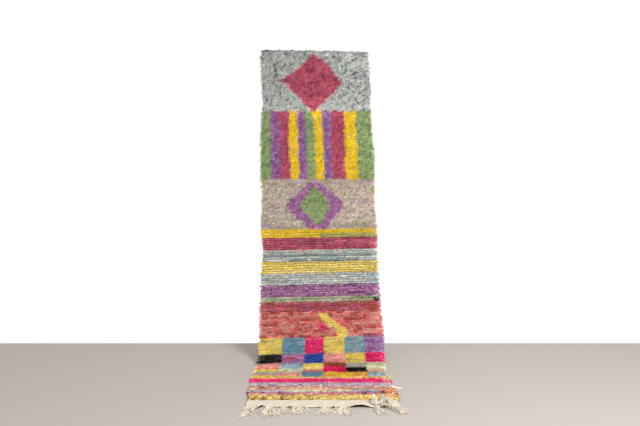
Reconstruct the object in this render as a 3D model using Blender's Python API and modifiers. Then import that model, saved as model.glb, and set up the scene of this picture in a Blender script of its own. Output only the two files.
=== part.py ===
# Berber runner rug, hung by its top edge and running out over the floor.
# Metres, +Z up. The wall it hangs on lies at +Y and the fringed end at -Y.
# The origin is on the floor, under the middle of the rug's whole reach.

import math
import random
from collections import namedtuple

import bmesh
import bpy
from mathutils import Vector, noise

# Driving dimensions
PILE_LENGTH = 3.07  # of knotted pile, from the top edge to the plain end
FOOT_OUT = 0.75  # from the wall to where the rug meets the floor
BEND = 0.254  # radius of the bend at the floor, which also sets the slope above it
WALL_Y = 0.85  # of the wall's face
PILE_DEPTH = 0.027  # of pile and ground weave together, at the fullest lumps
RIM_DEPTH = 0.014  # of the slab at its rim, where the pile falls away
SKIRT_LENGTH = 0.112  # of the flat-woven end, out from the pile
SKIRT_DEPTH = 0.003
STRIP_LENGTH = 0.008  # of the fringe's strip, out from the skirt
STRIP_DEPTH = 0.0045
GAP = 0.0003  # between neighbouring pieces
LUMPINESS = 0.22  # share of the depth by which lumps rise and sink
PARTING = 0.003  # how much the pile sinks where yarn bands meet
LOCK_REACH = 0.013  # of a rim lock, out from the slab
KNOT_SIZE = 0.015  # across a fringe knot
STRAND_WIDTH = 0.0055  # of a fringe strand at its fullest
TOP_SLANT = 0.012  # how much lower the top edge's right end hangs
CORNER_DROP = 0.006  # how far the top edge's corners sink
CORNER_POWER = 8  # how near to the sides they do

# Grid of the pile slab
SLAB_ROWS = 90
SLAB_COLUMNS = 14
SKIRT_ROWS = 5

# Ripples of the hanging cloth
RIPPLE_HEIGHT = 0.010
RIPPLE_MEAN = 0.6  # of the wave, as a share of its height
RIPPLE_ACROSS = 1.1  # noise steps in half the width
RIPPLE_ALONG = 1.7  # noise steps in a metre
RIPPLE_LAYER = 3.1  # of the noise
RIPPLE_START = 0.35  # length over which they grow from the wall
RIPPLE_FADE = 0.75  # length above the floor at which they start to die out
RIPPLE_END = 0.15  # length above the floor at which they have died out

# Lumps of the pile: noise steps in half the width and in a metre, share and noise layer
LUMPS = [(5, 11, 1.0, 0.4), (13, 24, 0.8, 7.7)]
LUMP_GAIN = 1.6
RIM_START = 0.86  # share of half the width past which the pile falls away
END_FALL = 0.05  # length over which it falls away at both ends
PARTING_WIDTH = 0.03  # on either side of a band's end

# Front edge of the skirt
EDGE_WANDER = 0.004  # in and out
WANDER_STEPS = 14  # noise steps in a metre
WANDER_LAYER = 5.2
FLAT_SHARE = 0.25  # of the skirt, next to the pile, which never lifts

# Locks at the slab's rim
FACING = 0.7  # least part of a normal that makes a face look one way
LOCK_INSET = 0.002
LOCK_SPREAD = (0.75, 1.25)  # of their reach
LOCK_ROOT = (0.42, 0.55)  # of the root's size, as a share of the face
LOCK_TIP = (0.35, 0.50)
SIDE_DROP = (0.002, 0.010)  # of side locks, down the rug
TOP_DROP = 0.004
TOP_ASIDE = 0.005
END_SHARE = 0.8  # of the reach, for locks at the plain end
END_DROP = 0.0015
END_ASIDE = 0.004
LYING_BELOW = 0.01  # height under which side locks lie on the floor
HANGING_ABOVE = 0.12  # height over which they hang
LOCK_SEED = 11

# Along the rug from its top edge: how far its middle strays in X, and its half width.
# (length, middle, half width)
OUTLINE = [
    (0.00, -0.047, 0.387),
    (0.12, -0.041, 0.395),
    (0.40, -0.032, 0.388),
    (0.62, -0.032, 0.397),
    (0.86, -0.024, 0.403),
    (1.15, -0.018, 0.396),
    (1.36, -0.014, 0.403),
    (1.50, -0.008, 0.393),
    (1.68, -0.007, 0.402),
    (1.90, -0.004, 0.404),
    (2.08, 0.004, 0.407),
    (2.26, 0.003, 0.398),
    (2.45, 0.000, 0.393),
    (2.65, -0.003, 0.403),
    (2.90, 0.005, 0.398),
    (3.07, 0.012, 0.391),
    (3.20, 0.014, 0.389),
]

# Where the skirt's front edge stands off the floor.
# (middle in X, half width, height)
LIFTS = [
    (-0.295, 0.045, 0.009),
    (-0.145, 0.035, 0.006),
    (0.075, 0.040, 0.005),
    (0.215, 0.085, 0.014),
    (0.350, 0.055, 0.024),
]

Bunch = namedtuple("Bunch", "root turn spread strands reach")
Loose = namedtuple("Loose", "root turn reach")
Thrown = namedtuple("Thrown", "root turn strands")

# Knotted bunches of fringe: root in X, turn from straight out towards +X and spread in
# degrees, and reach from the knot to the tips.
BUNCHES = [
    Bunch(root=-0.365, turn=-42, spread=70, strands=7, reach=0.070),
    Bunch(root=-0.262, turn=-6, spread=62, strands=8, reach=0.136),
    Bunch(root=-0.176, turn=4, spread=34, strands=6, reach=0.082),
    Bunch(root=-0.108, turn=8, spread=48, strands=7, reach=0.092),
    Bunch(root=0.024, turn=0, spread=52, strands=6, reach=0.092),
    Bunch(root=0.118, turn=8, spread=62, strands=8, reach=0.112),
    Bunch(root=0.296, turn=22, spread=34, strands=5, reach=0.082),
    Bunch(root=0.374, turn=40, spread=62, strands=8, reach=0.062),
]

# Warp ends that left their knots.
LOOSE_ENDS = [
    Loose(root=-0.322, turn=-22, reach=0.055),
    Loose(root=-0.296, turn=-30, reach=0.050),
    Loose(root=-0.218, turn=-4, reach=0.044),
    Loose(root=-0.142, turn=-2, reach=0.050),
    Loose(root=-0.066, turn=10, reach=0.066),
    Loose(root=-0.026, turn=-8, reach=0.056),
    Loose(root=0.068, turn=-2, reach=0.048),
    Loose(root=0.172, turn=24, reach=0.060),
    Loose(root=0.232, turn=24, reach=0.062),
    Loose(root=0.336, turn=12, reach=0.052),
]

# Bunches thrown back over the skirt, up to the pile.
THROWN_BACK = [
    Thrown(root=0.270, turn=4, strands=3),
    Thrown(root=0.322, turn=0, strands=3),
]

# Width along the strip of each kind of root.
ROOT_WIDTHS = {Bunch: 0.010, Loose: 0.005, Thrown: 0.009}
LONGEST_COLUMN = 0.030

# How strands stray, in degrees of curl and in shares of their length
BUNCH_CURL = 24
STRAND_CURL = 3
LOOSE_CURL = 30
STRAND_SPREAD = (0.80, 1.10)
BACK_SPREAD = (0.85, 1.05)
FRINGE_SEED = 23

# Rings of a knot: step forward, width and height as shares of the knot's size, and how
# much of the skirt's lift each still has.
KNOT_RINGS = [
    (0.008, 0.62, 0.50, 0.85),
    (0.007, 1.00, 0.95, 0.45),
    (0.011, 1.05, 0.95, 0.10),
    (0.006, 0.85, 0.45, 0.00),
]

# Rings of a strand: share of its length, fullness, and how much it is still held up.
STRAND_RINGS = [(0.22, 0.9, 0.45), (0.33, 1.0, 0.0), (0.27, 0.85, 0.0), (0.18, 0.45, 0.0)]
STRAND_FLATNESS = 0.75
THINNEST_YARN = 0.0016
ROOM_SHARE = 0.8  # of the room between neighbours that a strand fills
NECK_TURN = 0.6  # share of a bunch's turn that is still to come where it is fully lifted

# Rings of a bunch thrown back: how far back, height over the skirt, steepness and width.
BACK_RINGS = [
    (0.003, 0.009, 1.6, 0.7),
    (0.013, 0.014, 0.4, 0.95),
    (0.026, 0.011, -0.2, 0.8),
]

BACK_FLATNESS = 0.6

# Rings of its strands: how far back, height over the floor, steepness and fullness.
BACK_STRAND_RINGS = [(0.018, 0.024, 0.0, 1.0), (0.036, 0.026, 0.5, 1.1), (0.052, 0.040, 1.4, 0.5)]
BACK_STRAND_FLATNESS = 0.8
BACK_FAN = 15  # degrees between them

YARNS = {
    "grey": (0.36, 0.37, 0.36),
    "raspberry": (0.38, 0.055, 0.10),
    "purple": (0.27, 0.10, 0.24),
    "yellow": (0.78, 0.50, 0.035),
    "green": (0.20, 0.28, 0.12),
    "oatmeal": (0.45, 0.37, 0.30),
    "gold": (0.70, 0.50, 0.17),
    "coral": (0.56, 0.15, 0.13),
    "hot_pink": (0.66, 0.02, 0.12),
    "teal": (0.13, 0.26, 0.34),
    "blue": (0.03, 0.08, 0.30),
    "black": (0.012, 0.013, 0.014),
    "cream": (0.80, 0.74, 0.62),
}

# Yarn bands along the rug. (length at which the band ends, yarn)
BANDS = [
    (0.476, "grey"),
    (0.986, "stripes"),
    (1.352, "oatmeal"),
    (1.415, "yellow"),
    (1.500, "raspberry"),
    (1.576, "grey"),
    (1.666, "gold"),
    (1.745, "grey"),
    (1.830, "purple"),
    (1.870, "green"),
    (1.945, "raspberry"),
    (2.133, "coral"),
    (2.577, "checks"),
    (2.722, "yellow"),
    (2.803, "hot_pink"),
    (2.873, "purple"),
    (2.945, "coral"),
    (3.000, "grey"),
    (3.040, "coral"),
    (PILE_LENGTH, "gold"),
]

# Warpwise stripes from the left edge. (share of the width at which it ends, yarn)
STRIPES = [
    (0.10, "green"),
    (0.18, "purple"),
    (0.26, "raspberry"),
    (0.34, "yellow"),
    (0.41, "purple"),
    (0.49, "green"),
    (0.57, "yellow"),
    (0.65, "purple"),
    (0.76, "raspberry"),
    (0.88, "yellow"),
    (1.00, "green"),
]

# Rows of checks. (length at which the row ends, yarns from left to right)
CHECKS = [
    (2.261, ("gold", "teal", "hot_pink", "gold", "teal", "purple")),
    (2.382, ("black", "purple", "blue", "coral", "gold", "hot_pink")),
    (2.507, ("coral", "teal", "gold", "raspberry", "grey", "green")),
    (2.577, ("gold", "cream", "coral", "hot_pink", "black", "oatmeal")),
]

# Diamonds knotted into the plain panels. (middle along, across, half length, half width, yarn)
DIAMONDS = [
    (0.255, -0.010, 0.210, 0.218, "raspberry"),
    (1.170, -0.018, 0.165, 0.199, "purple"),
    (1.175, -0.010, 0.110, 0.112, "green"),
]

HANG_LENGTH = BEND * math.sinh(FOOT_OUT / BEND)
SKIRT_START = PILE_LENGTH + GAP
STRIP_START = SKIRT_START + SKIRT_LENGTH + GAP


def blend(value, low, high):
    """0 at low, 1 at high and smooth between them."""
    share = min(max((value - low) / (high - low), 0), 1)
    return share * share * (3 - 2 * share)


def outline_at(length):
    """Middle in X and half width at a length along the rug."""
    for (start, mid_a, half_a), (end, mid_b, half_b) in zip(OUTLINE, OUTLINE[1:]):
        if length <= end:
            share = blend(length, start, end)
            return mid_a + (mid_b - mid_a) * share, half_a + (half_b - half_a) * share
    return OUTLINE[-1][1:]


def drape(length):
    """Back of the rug at a length along it: Y, Z and the way out of its face.
    It hangs in a catenary that meets the floor level, and runs on flat."""
    left = HANG_LENGTH - length
    if left <= 0:
        return WALL_Y - FOOT_OUT + left, 0.0, Vector((0, 0, 1))
    along = BEND * math.asinh(left / BEND)
    slope = math.atan2(left, BEND)
    height = BEND * (math.cosh(along / BEND) - 1)
    return WALL_Y - FOOT_OUT + along, height, Vector((0, -math.sin(slope), math.cos(slope)))


def ripple(length, across):
    """Soft waves of the hanging cloth, which die out at the wall and the floor."""
    left = HANG_LENGTH - length
    hung = blend(length, 0, RIPPLE_START) * blend(left, RIPPLE_END, RIPPLE_FADE)
    wave = noise.noise(Vector((across * RIPPLE_ACROSS, length * RIPPLE_ALONG, RIPPLE_LAYER)))
    return RIPPLE_HEIGHT * hung * (RIPPLE_MEAN + wave)


def rug_point(length, across):
    """A point of the rug's back: length along it, and across it from -1 to 1."""
    middle, half = outline_at(length)
    y, z, out = drape(length)
    return Vector((middle + half * across, y, z)) + out * ripple(length, across)


def pile_depth(length, across):
    """Depth of the slab: lumpy, thin at the rim, a little parted between yarn bands."""
    lumps = sum(
        share * noise.noise(Vector((across * wide, length * tall, layer)))
        for wide, tall, share, layer in LUMPS
    )
    rim = blend(abs(across), RIM_START, 1)
    ends = 1 - blend(min(length, PILE_LENGTH - length), 0, END_FALL)
    parted = min(abs(length - end) for end, _ in BANDS)
    depth = PILE_DEPTH * (1 - LUMPINESS + LUMPINESS * max(min(LUMP_GAIN * lumps, 1), -1))
    depth -= PARTING * (1 - blend(parted, 0, PARTING_WIDTH))
    return depth + (RIM_DEPTH - depth) * max(rim, ends)


def lift_at(x):
    """Height of the skirt's front edge over the floor."""
    height = sum(top * (1 - blend(abs(x - middle), 0, half)) for middle, half, top in LIFTS)
    return max(height, 0.0)


def skirt_point(share, x):
    """A point of the skirt's underside: 0 at the pile and 1 at its front edge."""
    y = drape(SKIRT_START + share * SKIRT_LENGTH)[0]
    wander = EDGE_WANDER * noise.noise(Vector((x * WANDER_STEPS, 0, WANDER_LAYER))) * share
    return Vector((x, y + wander, lift_at(x) * blend(share, FLAT_SHARE, 1)))


def station_x(stations, across):
    """X of the column at a place from -1 to 1 along a grid."""
    return stations[round((across + 1) / 2 * (len(stations) - 1))]


def collection_for(name):
    found = bpy.data.collections.new(name)
    bpy.context.scene.collection.children.link(found)
    return found


def finish_for(name, colour, roughness):
    """A matt wool finish."""
    material = bpy.data.materials.new(name)
    material.use_nodes = True
    shader = material.node_tree.nodes["Principled BSDF"]
    shader.inputs["Base Color"].default_value = (*colour, 1)
    shader.inputs["Roughness"].default_value = roughness
    shader.inputs["Metallic"].default_value = 0
    material.diffuse_color = (*colour, 1)
    return material


def grid_object(name, rows, columns, point, collection):
    """A sheet of quads whose corners come from point(row share, column share)."""
    shape = bmesh.new()
    bmesh.ops.create_grid(shape, x_segments=columns, y_segments=rows, size=1)
    for vert in shape.verts:
        vert.co = point((1 - vert.co.y) / 2, vert.co.x)
    mesh = bpy.data.meshes.new(name)
    shape.to_mesh(mesh)
    shape.free()
    sheet = bpy.data.objects.new(name, mesh)
    collection.objects.link(sheet)
    return sheet


def thicken(sheet, depth, shares=None):
    """Gives the sheet its depth on the side that its faces look to, uneven where shares say."""
    solid = sheet.modifiers.new("depth", "SOLIDIFY")
    solid.thickness = depth
    solid.offset = 1
    if shares is not None:
        group = sheet.vertex_groups.new(name="depth")
        for index, share in enumerate(shares):
            group.add([index], share, "REPLACE")
        solid.vertex_group = group.name
    return solid


def apply_modifiers(sheet):
    """The sheet's evaluated mesh takes the place of its own."""
    bpy.context.view_layer.update()
    graph = bpy.context.evaluated_depsgraph_get()
    shaped = bpy.data.meshes.new_from_object(sheet.evaluated_get(graph))
    flat = sheet.data
    sheet.modifiers.clear()
    sheet.vertex_groups.clear()
    sheet.data = shaped
    bpy.data.meshes.remove(flat)
    shaped.name = sheet.name


def yarn_at(length, share):
    """Yarn at a length along the pile, and at a share of its width."""
    half = outline_at(length)[1]
    across = (2 * share - 1) * half
    chosen = next((yarn for end, yarn in BANDS if length <= end), BANDS[-1][1])
    if chosen == "stripes":
        chosen = next(yarn for end, yarn in STRIPES if share <= end or end == 1)
    if chosen == "checks":
        row = next(yarns for end, yarns in CHECKS if length <= end)
        chosen = row[min(int(share * len(row)), len(row) - 1)]
    for along, aside, half_length, half_width, yarn in DIAMONDS:
        if abs(length - along) / half_length + abs(across - aside) / half_width < 1:
            chosen = yarn
    return chosen


def pull_lock(shape, face, reach, drop, root, tip):
    """Draws one lock of yarn out of a rim face: a narrow root and a tapering tip."""
    bmesh.ops.inset_individual(shape, faces=[face], thickness=LOCK_INSET)
    centre = face.calc_center_median()
    for vert in face.verts:
        vert.co = centre + root * (vert.co - centre)
    end = bmesh.ops.extrude_discrete_faces(shape, faces=[face])["faces"][0]
    for vert in end.verts:
        vert.co = centre + reach + drop + tip * (vert.co - centre)
    return end


def add_rim_locks(mesh):
    """One lock on every face of the slab's rim, lying down the rug, each its own length."""
    shape = bmesh.new()
    shape.from_mesh(mesh)
    chance = random.Random(LOCK_SEED)
    end_y = drape(PILE_LENGTH)[0]
    top_z = drape(0)[1]
    for face in list(shape.faces):
        normal = face.normal
        centre = face.calc_center_median()
        at_side = abs(normal.x) > FACING
        at_top = normal.z > FACING and centre.z > top_z - 2 * TOP_SLANT
        at_end = normal.y < -FACING and centre.y < end_y + GAP
        if not (at_side or at_top or at_end):
            continue
        reach = normal * LOCK_REACH * chance.uniform(*LOCK_SPREAD)
        floor_share = 1 - blend(centre.z, LYING_BELOW, HANGING_ABOVE)
        down_rug = Vector((0, -floor_share, floor_share - 1))
        drop = down_rug * chance.uniform(*SIDE_DROP)
        if at_end:
            reach = reach * END_SHARE
            drop = Vector((chance.uniform(-END_ASIDE, END_ASIDE), 0, -END_DROP))
        if at_top:
            drop = Vector((chance.uniform(-TOP_ASIDE, TOP_ASIDE), -TOP_DROP, 0))
        root = chance.uniform(*LOCK_ROOT)
        end = pull_lock(shape, face, reach, drop, root, chance.uniform(*LOCK_TIP))
        if at_side:
            lowest = min(vert.co.z for vert in end.verts)
            bmesh.ops.translate(shape, vec=(0, 0, -lowest * floor_share), verts=end.verts)
    shape.to_mesh(mesh)
    shape.free()


def make_pile_field(collection):
    """The draped slab of knotted pile, with its lumps, its rim and its yarn colours."""

    def point(row, across):
        corner = CORNER_DROP * abs(across) ** CORNER_POWER
        start = TOP_SLANT * (1 + across) / 2 + corner
        return rug_point(start + (PILE_LENGTH - start) * row, across)

    field = grid_object("pile_field", SLAB_ROWS, SLAB_COLUMNS, point, collection)
    shares = []
    for vert in field.data.vertices:
        row, column = divmod(vert.index, SLAB_COLUMNS + 1)
        length = PILE_LENGTH * (1 - row / SLAB_ROWS)
        shares.append(pile_depth(length, 2 * column / SLAB_COLUMNS - 1) / PILE_DEPTH)
    slots = list(YARNS)
    for yarn, colour in YARNS.items():
        field.data.materials.append(finish_for(yarn + "_pile", colour, 0.95))
    for face in field.data.polygons:
        row, column = divmod(face.index, SLAB_COLUMNS)
        length = PILE_LENGTH * (1 - (row + 0.5) / SLAB_ROWS)
        face.material_index = slots.index(yarn_at(length, (column + 0.5) / SLAB_COLUMNS))
    thicken(field, PILE_DEPTH, shares)
    apply_modifiers(field)
    add_rim_locks(field.data)
    field.data.shade_flat()
    return field


class Yarn:
    """A four-sided run of yarn that grows out of one face, ring by ring."""

    def __init__(self, shape, face):
        self.shape = shape
        self.face = face

    def turn(self, forward):
        """Faces the yarn forward. Its side stays level."""
        self.forward = forward.normalized()
        self.side = self.forward.cross(Vector((0, 0, 1))).normalized()
        self.up = self.side.cross(self.forward)

    def grow(self, centre, width, depth):
        """Adds one ring around a centre."""
        self.face = bmesh.ops.extrude_discrete_faces(self.shape, faces=[self.face])["faces"][0]
        ends = sorted(self.face.verts, key=lambda vert: vert.co.dot(self.side))
        for aside, pair in ((-width / 2, ends[:2]), (width / 2, ends[2:])):
            low, high = sorted(pair, key=lambda vert: vert.co.dot(self.up))
            low.co = centre + self.side * aside - self.up * depth / 2
            high.co = centre + self.side * aside + self.up * depth / 2

    def columns(self, count):
        """Cuts the last ring's face into upright columns, in order along its side."""
        face = self.face
        found = []
        for left in range(count, 1, -1):
            cuts = []
            for edge in list(face.edges):
                ends = sorted(edge.verts, key=lambda vert: vert.co.dot(self.side))
                if (ends[1].co - ends[0].co).normalized().dot(self.side) > FACING:
                    cuts.append(bmesh.utils.edge_split(edge, ends[0], 1 / left)[1])
            other = bmesh.utils.face_split(face, *cuts)[0]
            near, face = sorted(
                (face, other), key=lambda part: part.calc_center_median().dot(self.side)
            )
            found.append(near)
        return found + [face]


def heading(turn):
    """Level direction, turned from straight out towards +X, in degrees."""
    return Vector((math.sin(math.radians(turn)), -math.cos(math.radians(turn)), 0))


def lay_strand(shape, face, turn, length, bend, base=0.0, pitch=STRAND_WIDTH, opening=0.0):
    """One strand from a face that stands at height base, down to the floor, where it rests.
    Its width keeps to its place in the fan: pitch at the root, and opening for each metre."""
    yarn = Yarn(shape, face)
    middle = face.calc_center_median()
    centre = Vector((middle.x, middle.y, 0))
    run = 0
    for step, fullness, held in STRAND_RINGS:
        yarn.turn(heading(turn + bend * (run + step / 2)))
        centre += yarn.forward * length * step
        run += step
        room = pitch + opening * length * run
        width = min(STRAND_WIDTH, ROOM_SHARE * room) * fullness
        depth = max(STRAND_FLATNESS * width, THINNEST_YARN)
        yarn.grow(centre + Vector((0, 0, depth / 2 + base * held)), width, depth)


def tie_bunch(shape, face, bunch, chance):
    """A bunch of warp ends: a short neck, a knot on the floor, and its strands in a fan."""
    yarn = Yarn(shape, face)
    middle = face.calc_center_median()
    lift = lift_at(bunch.root)
    centre = Vector((middle.x, middle.y, 0))
    for step, wide, high, held in KNOT_RINGS:
        yarn.turn(heading(bunch.turn * (1 - NECK_TURN * held)))
        centre += yarn.forward * step
        depth = KNOT_SIZE * high
        yarn.grow(centre + Vector((0, 0, depth / 2 + lift * held)), KNOT_SIZE * wide, depth)
    pitch = KNOT_SIZE * KNOT_RINGS[-1][1] / bunch.strands
    fan_step = bunch.spread / (bunch.strands - 1)
    bend = chance.uniform(-BUNCH_CURL, BUNCH_CURL)
    for index, column in enumerate(yarn.columns(bunch.strands)):
        turn = bunch.turn + bunch.spread / 2 - fan_step * index
        length = bunch.reach * chance.uniform(*STRAND_SPREAD)
        curl = bend + chance.uniform(-STRAND_CURL, STRAND_CURL)
        lay_strand(
            shape, column, turn, length, curl, pitch=pitch, opening=math.radians(fan_step)
        )


def throw_back(shape, face, thrown, chance):
    """A bunch that lies back over the skirt, its tips standing up against the pile."""
    yarn = Yarn(shape, face)
    start = face.calc_center_median()
    top = lift_at(thrown.root) + SKIRT_DEPTH

    def over_skirt(back, height, turn):
        along = math.radians(turn)
        aside = Vector((math.sin(along) * back, math.cos(along) * back, 0))
        return Vector((start.x, start.y, height)) + aside

    for back, rise, steep, wide in BACK_RINGS:
        yarn.turn(Vector((math.sin(math.radians(thrown.turn)), 1, steep)))
        centre = over_skirt(back, top + rise, thrown.turn)
        yarn.grow(centre, KNOT_SIZE * wide, KNOT_SIZE * BACK_FLATNESS)
    for index, column in enumerate(yarn.columns(thrown.strands)):
        strand = Yarn(shape, column)
        fan = BACK_FAN * (index - (thrown.strands - 1) / 2)
        middle = column.calc_center_median()
        length = chance.uniform(*BACK_SPREAD)
        for back, height, steep, fullness in BACK_STRAND_RINGS:
            aim = math.radians(thrown.turn + fan)
            strand.turn(Vector((math.sin(aim), math.cos(aim), steep)))
            out = Vector((math.sin(aim) * back * length, math.cos(aim) * back * length, 0))
            centre = Vector((middle.x, middle.y, height)) + out
            width = STRAND_WIDTH * fullness
            strand.grow(centre, width, width * BACK_STRAND_FLATNESS)


def fringe_roots():
    """Every place where yarn leaves the strip, from left to right."""
    return sorted([*BUNCHES, *LOOSE_ENDS, *THROWN_BACK], key=lambda item: item.root)


def edge_stations():
    """X of every column along the skirt's front edge and the fringe's strip."""
    middle, half = outline_at(STRIP_START)
    stations = [middle - half]
    for item in fringe_roots():
        width = ROOT_WIDTHS[type(item)]
        for x in (item.root - width / 2, item.root + width / 2):
            pieces = math.ceil((x - stations[-1]) / LONGEST_COLUMN)
            step = (x - stations[-1]) / pieces
            stations += [stations[-1] + step * (count + 1) for count in range(pieces)]
    pieces = math.ceil((middle + half - stations[-1]) / LONGEST_COLUMN)
    step = (middle + half - stations[-1]) / pieces
    return stations + [stations[-1] + step * (count + 1) for count in range(pieces)]


def make_end_skirt(collection):
    """The thin flat-woven end, lifted here and there along its front edge."""
    stations = edge_stations()

    def point(row, across):
        return skirt_point(row, station_x(stations, across))

    skirt = grid_object("end_skirt", SKIRT_ROWS, len(stations) - 1, point, collection)
    skirt.data.materials.append(finish_for("cream_flatweave", YARNS["cream"], 0.9))
    thicken(skirt, SKIRT_DEPTH)
    return skirt


def make_fringe(collection):
    """The strip along the skirt, with every bunch and loose end growing out of it."""
    stations = edge_stations()

    def point(row, across):
        edge = skirt_point(1, station_x(stations, across))
        return edge - Vector((0, GAP + STRIP_LENGTH * row, 0))

    fringe = grid_object("fringe", 1, len(stations) - 1, point, collection)
    fringe.data.materials.append(finish_for("cream_warp", YARNS["cream"], 0.85))
    thicken(fringe, STRIP_DEPTH)
    apply_modifiers(fringe)
    shape = bmesh.new()
    shape.from_mesh(fringe.data)
    shape.normal_update()
    chance = random.Random(FRINGE_SEED)
    fronts = [face for face in shape.faces if face.normal.y < -FACING]
    tops = [face for face in shape.faces if face.normal.z > FACING]
    grown = []
    for item in fringe_roots():
        sides = tops if isinstance(item, Thrown) else fronts
        root = item.root
        grown.append((item, min(sides, key=lambda side: abs(side.calc_center_median().x - root))))
    for item, face in grown:
        if isinstance(item, Bunch):
            tie_bunch(shape, face, item, chance)
        elif isinstance(item, Thrown):
            throw_back(shape, face, item, chance)
        else:
            curl = chance.uniform(-LOOSE_CURL, LOOSE_CURL)
            lay_strand(shape, face, item.turn, item.reach, curl, base=lift_at(item.root))
    shape.to_mesh(fringe.data)
    shape.free()
    return fringe


for old in list(bpy.data.objects):
    bpy.data.objects.remove(old)

rug = collection_for("berber_runner_rug")
make_pile_field(rug)
make_end_skirt(rug)
make_fringe(rug)
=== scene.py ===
import math
import random

import bmesh
import bpy
import numpy as np
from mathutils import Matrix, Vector, noise


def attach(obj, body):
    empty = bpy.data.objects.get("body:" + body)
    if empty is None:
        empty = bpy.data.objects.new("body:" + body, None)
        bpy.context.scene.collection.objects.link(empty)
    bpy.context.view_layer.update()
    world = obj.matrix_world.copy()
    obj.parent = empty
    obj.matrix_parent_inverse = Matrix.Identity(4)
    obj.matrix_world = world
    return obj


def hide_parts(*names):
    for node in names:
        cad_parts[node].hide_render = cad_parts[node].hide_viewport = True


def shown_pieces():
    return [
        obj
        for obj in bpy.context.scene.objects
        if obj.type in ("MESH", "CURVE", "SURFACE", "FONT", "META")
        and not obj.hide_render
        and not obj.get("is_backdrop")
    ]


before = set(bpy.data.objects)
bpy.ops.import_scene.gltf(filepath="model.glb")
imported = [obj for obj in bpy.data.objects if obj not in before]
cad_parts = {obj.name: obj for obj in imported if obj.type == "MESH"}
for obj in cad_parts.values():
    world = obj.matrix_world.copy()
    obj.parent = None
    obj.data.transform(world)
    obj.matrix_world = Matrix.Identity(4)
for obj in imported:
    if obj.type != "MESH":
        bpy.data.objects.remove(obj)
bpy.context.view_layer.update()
print("frame loaded")


# The rug's own form, the same as the solids have.
rug = {
    "pileLength": 3.07,      # from the top edge to the plain end
    "footOut": 0.75,         # from the wall to where it meets the floor
    "bend": 0.254,           # radius of the bend at the floor
    "wallY": 0.85,
    "pileDepth": 0.027,      # of pile and ground together at the fullest lumps
    "rimDepth": 0.014,
    "rimFrom": 0.86,         # share of half the width from which the pile thins to its rim
    "rimLength": 0.05,       # and the length over which it does at the two ends
    "lumpiness": 0.22,
    "lumps": (5, 11, 0.4),   # waves across and along, and seed
    "fineLumps": (13, 24, 7.7),
    "fineShare": 0.8,
    "ripple": 0.010,         # how far the hanging stretch swells out of its curve
    "ripples": (1.1, 1.7, 3.1),
    "rippleLift": 0.6,       # so that it swells out more than in
    "rippleFull": 0.35,      # length from the top edge by which it does
    "rippleFade": (0.75, 0.15),  # lengths before the floor between which it stops
    "topSlant": 0.012,       # how much lower the top edge's right end hangs
    "topRows": 0.45,         # rows over which that slant dies away
    "cornerDrop": 0.006,     # how much lower the top corners hang
    "cornerRows": 0.12,
    "cornerPower": 8,        # keeps that to the outermost part of the width
    "wander": 0.0035,        # how far a row of knots strays from its line
    "wanders": (2.6, 2.1, 8.8),
    "wanderFull": (0.03, 0.15),  # rows from the top edge between which it begins to
    "wanderStop": 0.12,      # length before the plain end from which it straightens
    "skirtLength": 0.112,
    "stripLength": 0.008,
    "gap": 0.0003,
}
hangLength = rug["bend"] * math.sinh(rug["footOut"] / rug["bend"])
skirtStart = rug["pileLength"] + rug["gap"]
stripStart = skirtStart + rug["skirtLength"] + rug["gap"]

# The rug's sides: length along it, middle in X, half width.
outline = [
    (0.00, -0.047, 0.387), (0.12, -0.041, 0.395), (0.40, -0.032, 0.388), (0.62, -0.032, 0.397),
    (0.86, -0.024, 0.403), (1.15, -0.018, 0.396), (1.36, -0.014, 0.403), (1.50, -0.008, 0.393),
    (1.68, -0.007, 0.402), (1.90, -0.004, 0.404), (2.08, 0.004, 0.407), (2.26, 0.003, 0.398),
    (2.45, 0.000, 0.393), (2.65, -0.003, 0.403), (2.90, 0.005, 0.398), (3.07, 0.012, 0.391),
    (3.20, 0.014, 0.389),
]

# How much lower the right end of a row of knots lies than its left end: row, metres.
slants = [
    (0.00, 0.012), (0.25, 0.016), (0.45, 0.002), (0.98, 0.000), (1.33, -0.004), (1.43, -0.016),
    (1.85, -0.016), (2.14, -0.028), (2.38, -0.026), (2.50, -0.020), (2.60, -0.004), (2.90, -0.004),
    (2.98, -0.010), (3.07, 0.000),
]

fullNoise = 1.6              # brings the noise to about -1 to 1


def blend(value, low, high):
    # from 0 at low to 1 at high, with soft ends
    share = min(max((value - low) / (high - low), 0), 1)
    return share * share * (3 - 2 * share)


def waver(x, y, waves):
    # seeded noise over a surface, with so many waves a unit along x and along y
    fineX, fineY, seed = waves
    return noise.noise(Vector((x * fineX, y * fineY, seed)))


def readTable(table, place):
    # the table's columns at a place, smooth between its rows
    for (start, *before), (end, *after) in zip(table, table[1:]):
        if place <= end:
            share = blend(place, start, end)
            return [a + (b - a) * share for a, b in zip(before, after)]
    return list(table[-1][1:])


def drape(length):
    # back of the rug at a length along it: Y, Z and the way out of its face
    left = hangLength - length
    if left <= 0:
        return rug["wallY"] - rug["footOut"] + left, 0.0, Vector((0, 0, 1))
    bend = rug["bend"]
    along = bend * math.asinh(left / bend)
    slope = math.atan2(left, bend)
    height = bend * (math.cosh(along / bend) - 1)
    return rug["wallY"] - rug["footOut"] + along, height, Vector((0, -math.sin(slope), math.cos(slope)))


def rugPoint(length, across):
    # a point of the rug's back and the way out of its face; across runs from -1 to 1
    middle, half = readTable(outline, length)
    y, z, out = drape(length)
    fadeFrom, fadeTo = (hangLength - before for before in rug["rippleFade"])
    hung = blend(length, 0, rug["rippleFull"]) * (1 - blend(length, fadeFrom, fadeTo))
    wave = rug["rippleLift"] + waver(across, length, rug["ripples"])
    return Vector((middle + half * across, y, z)) + out * (rug["ripple"] * hung * wave), out


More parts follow.
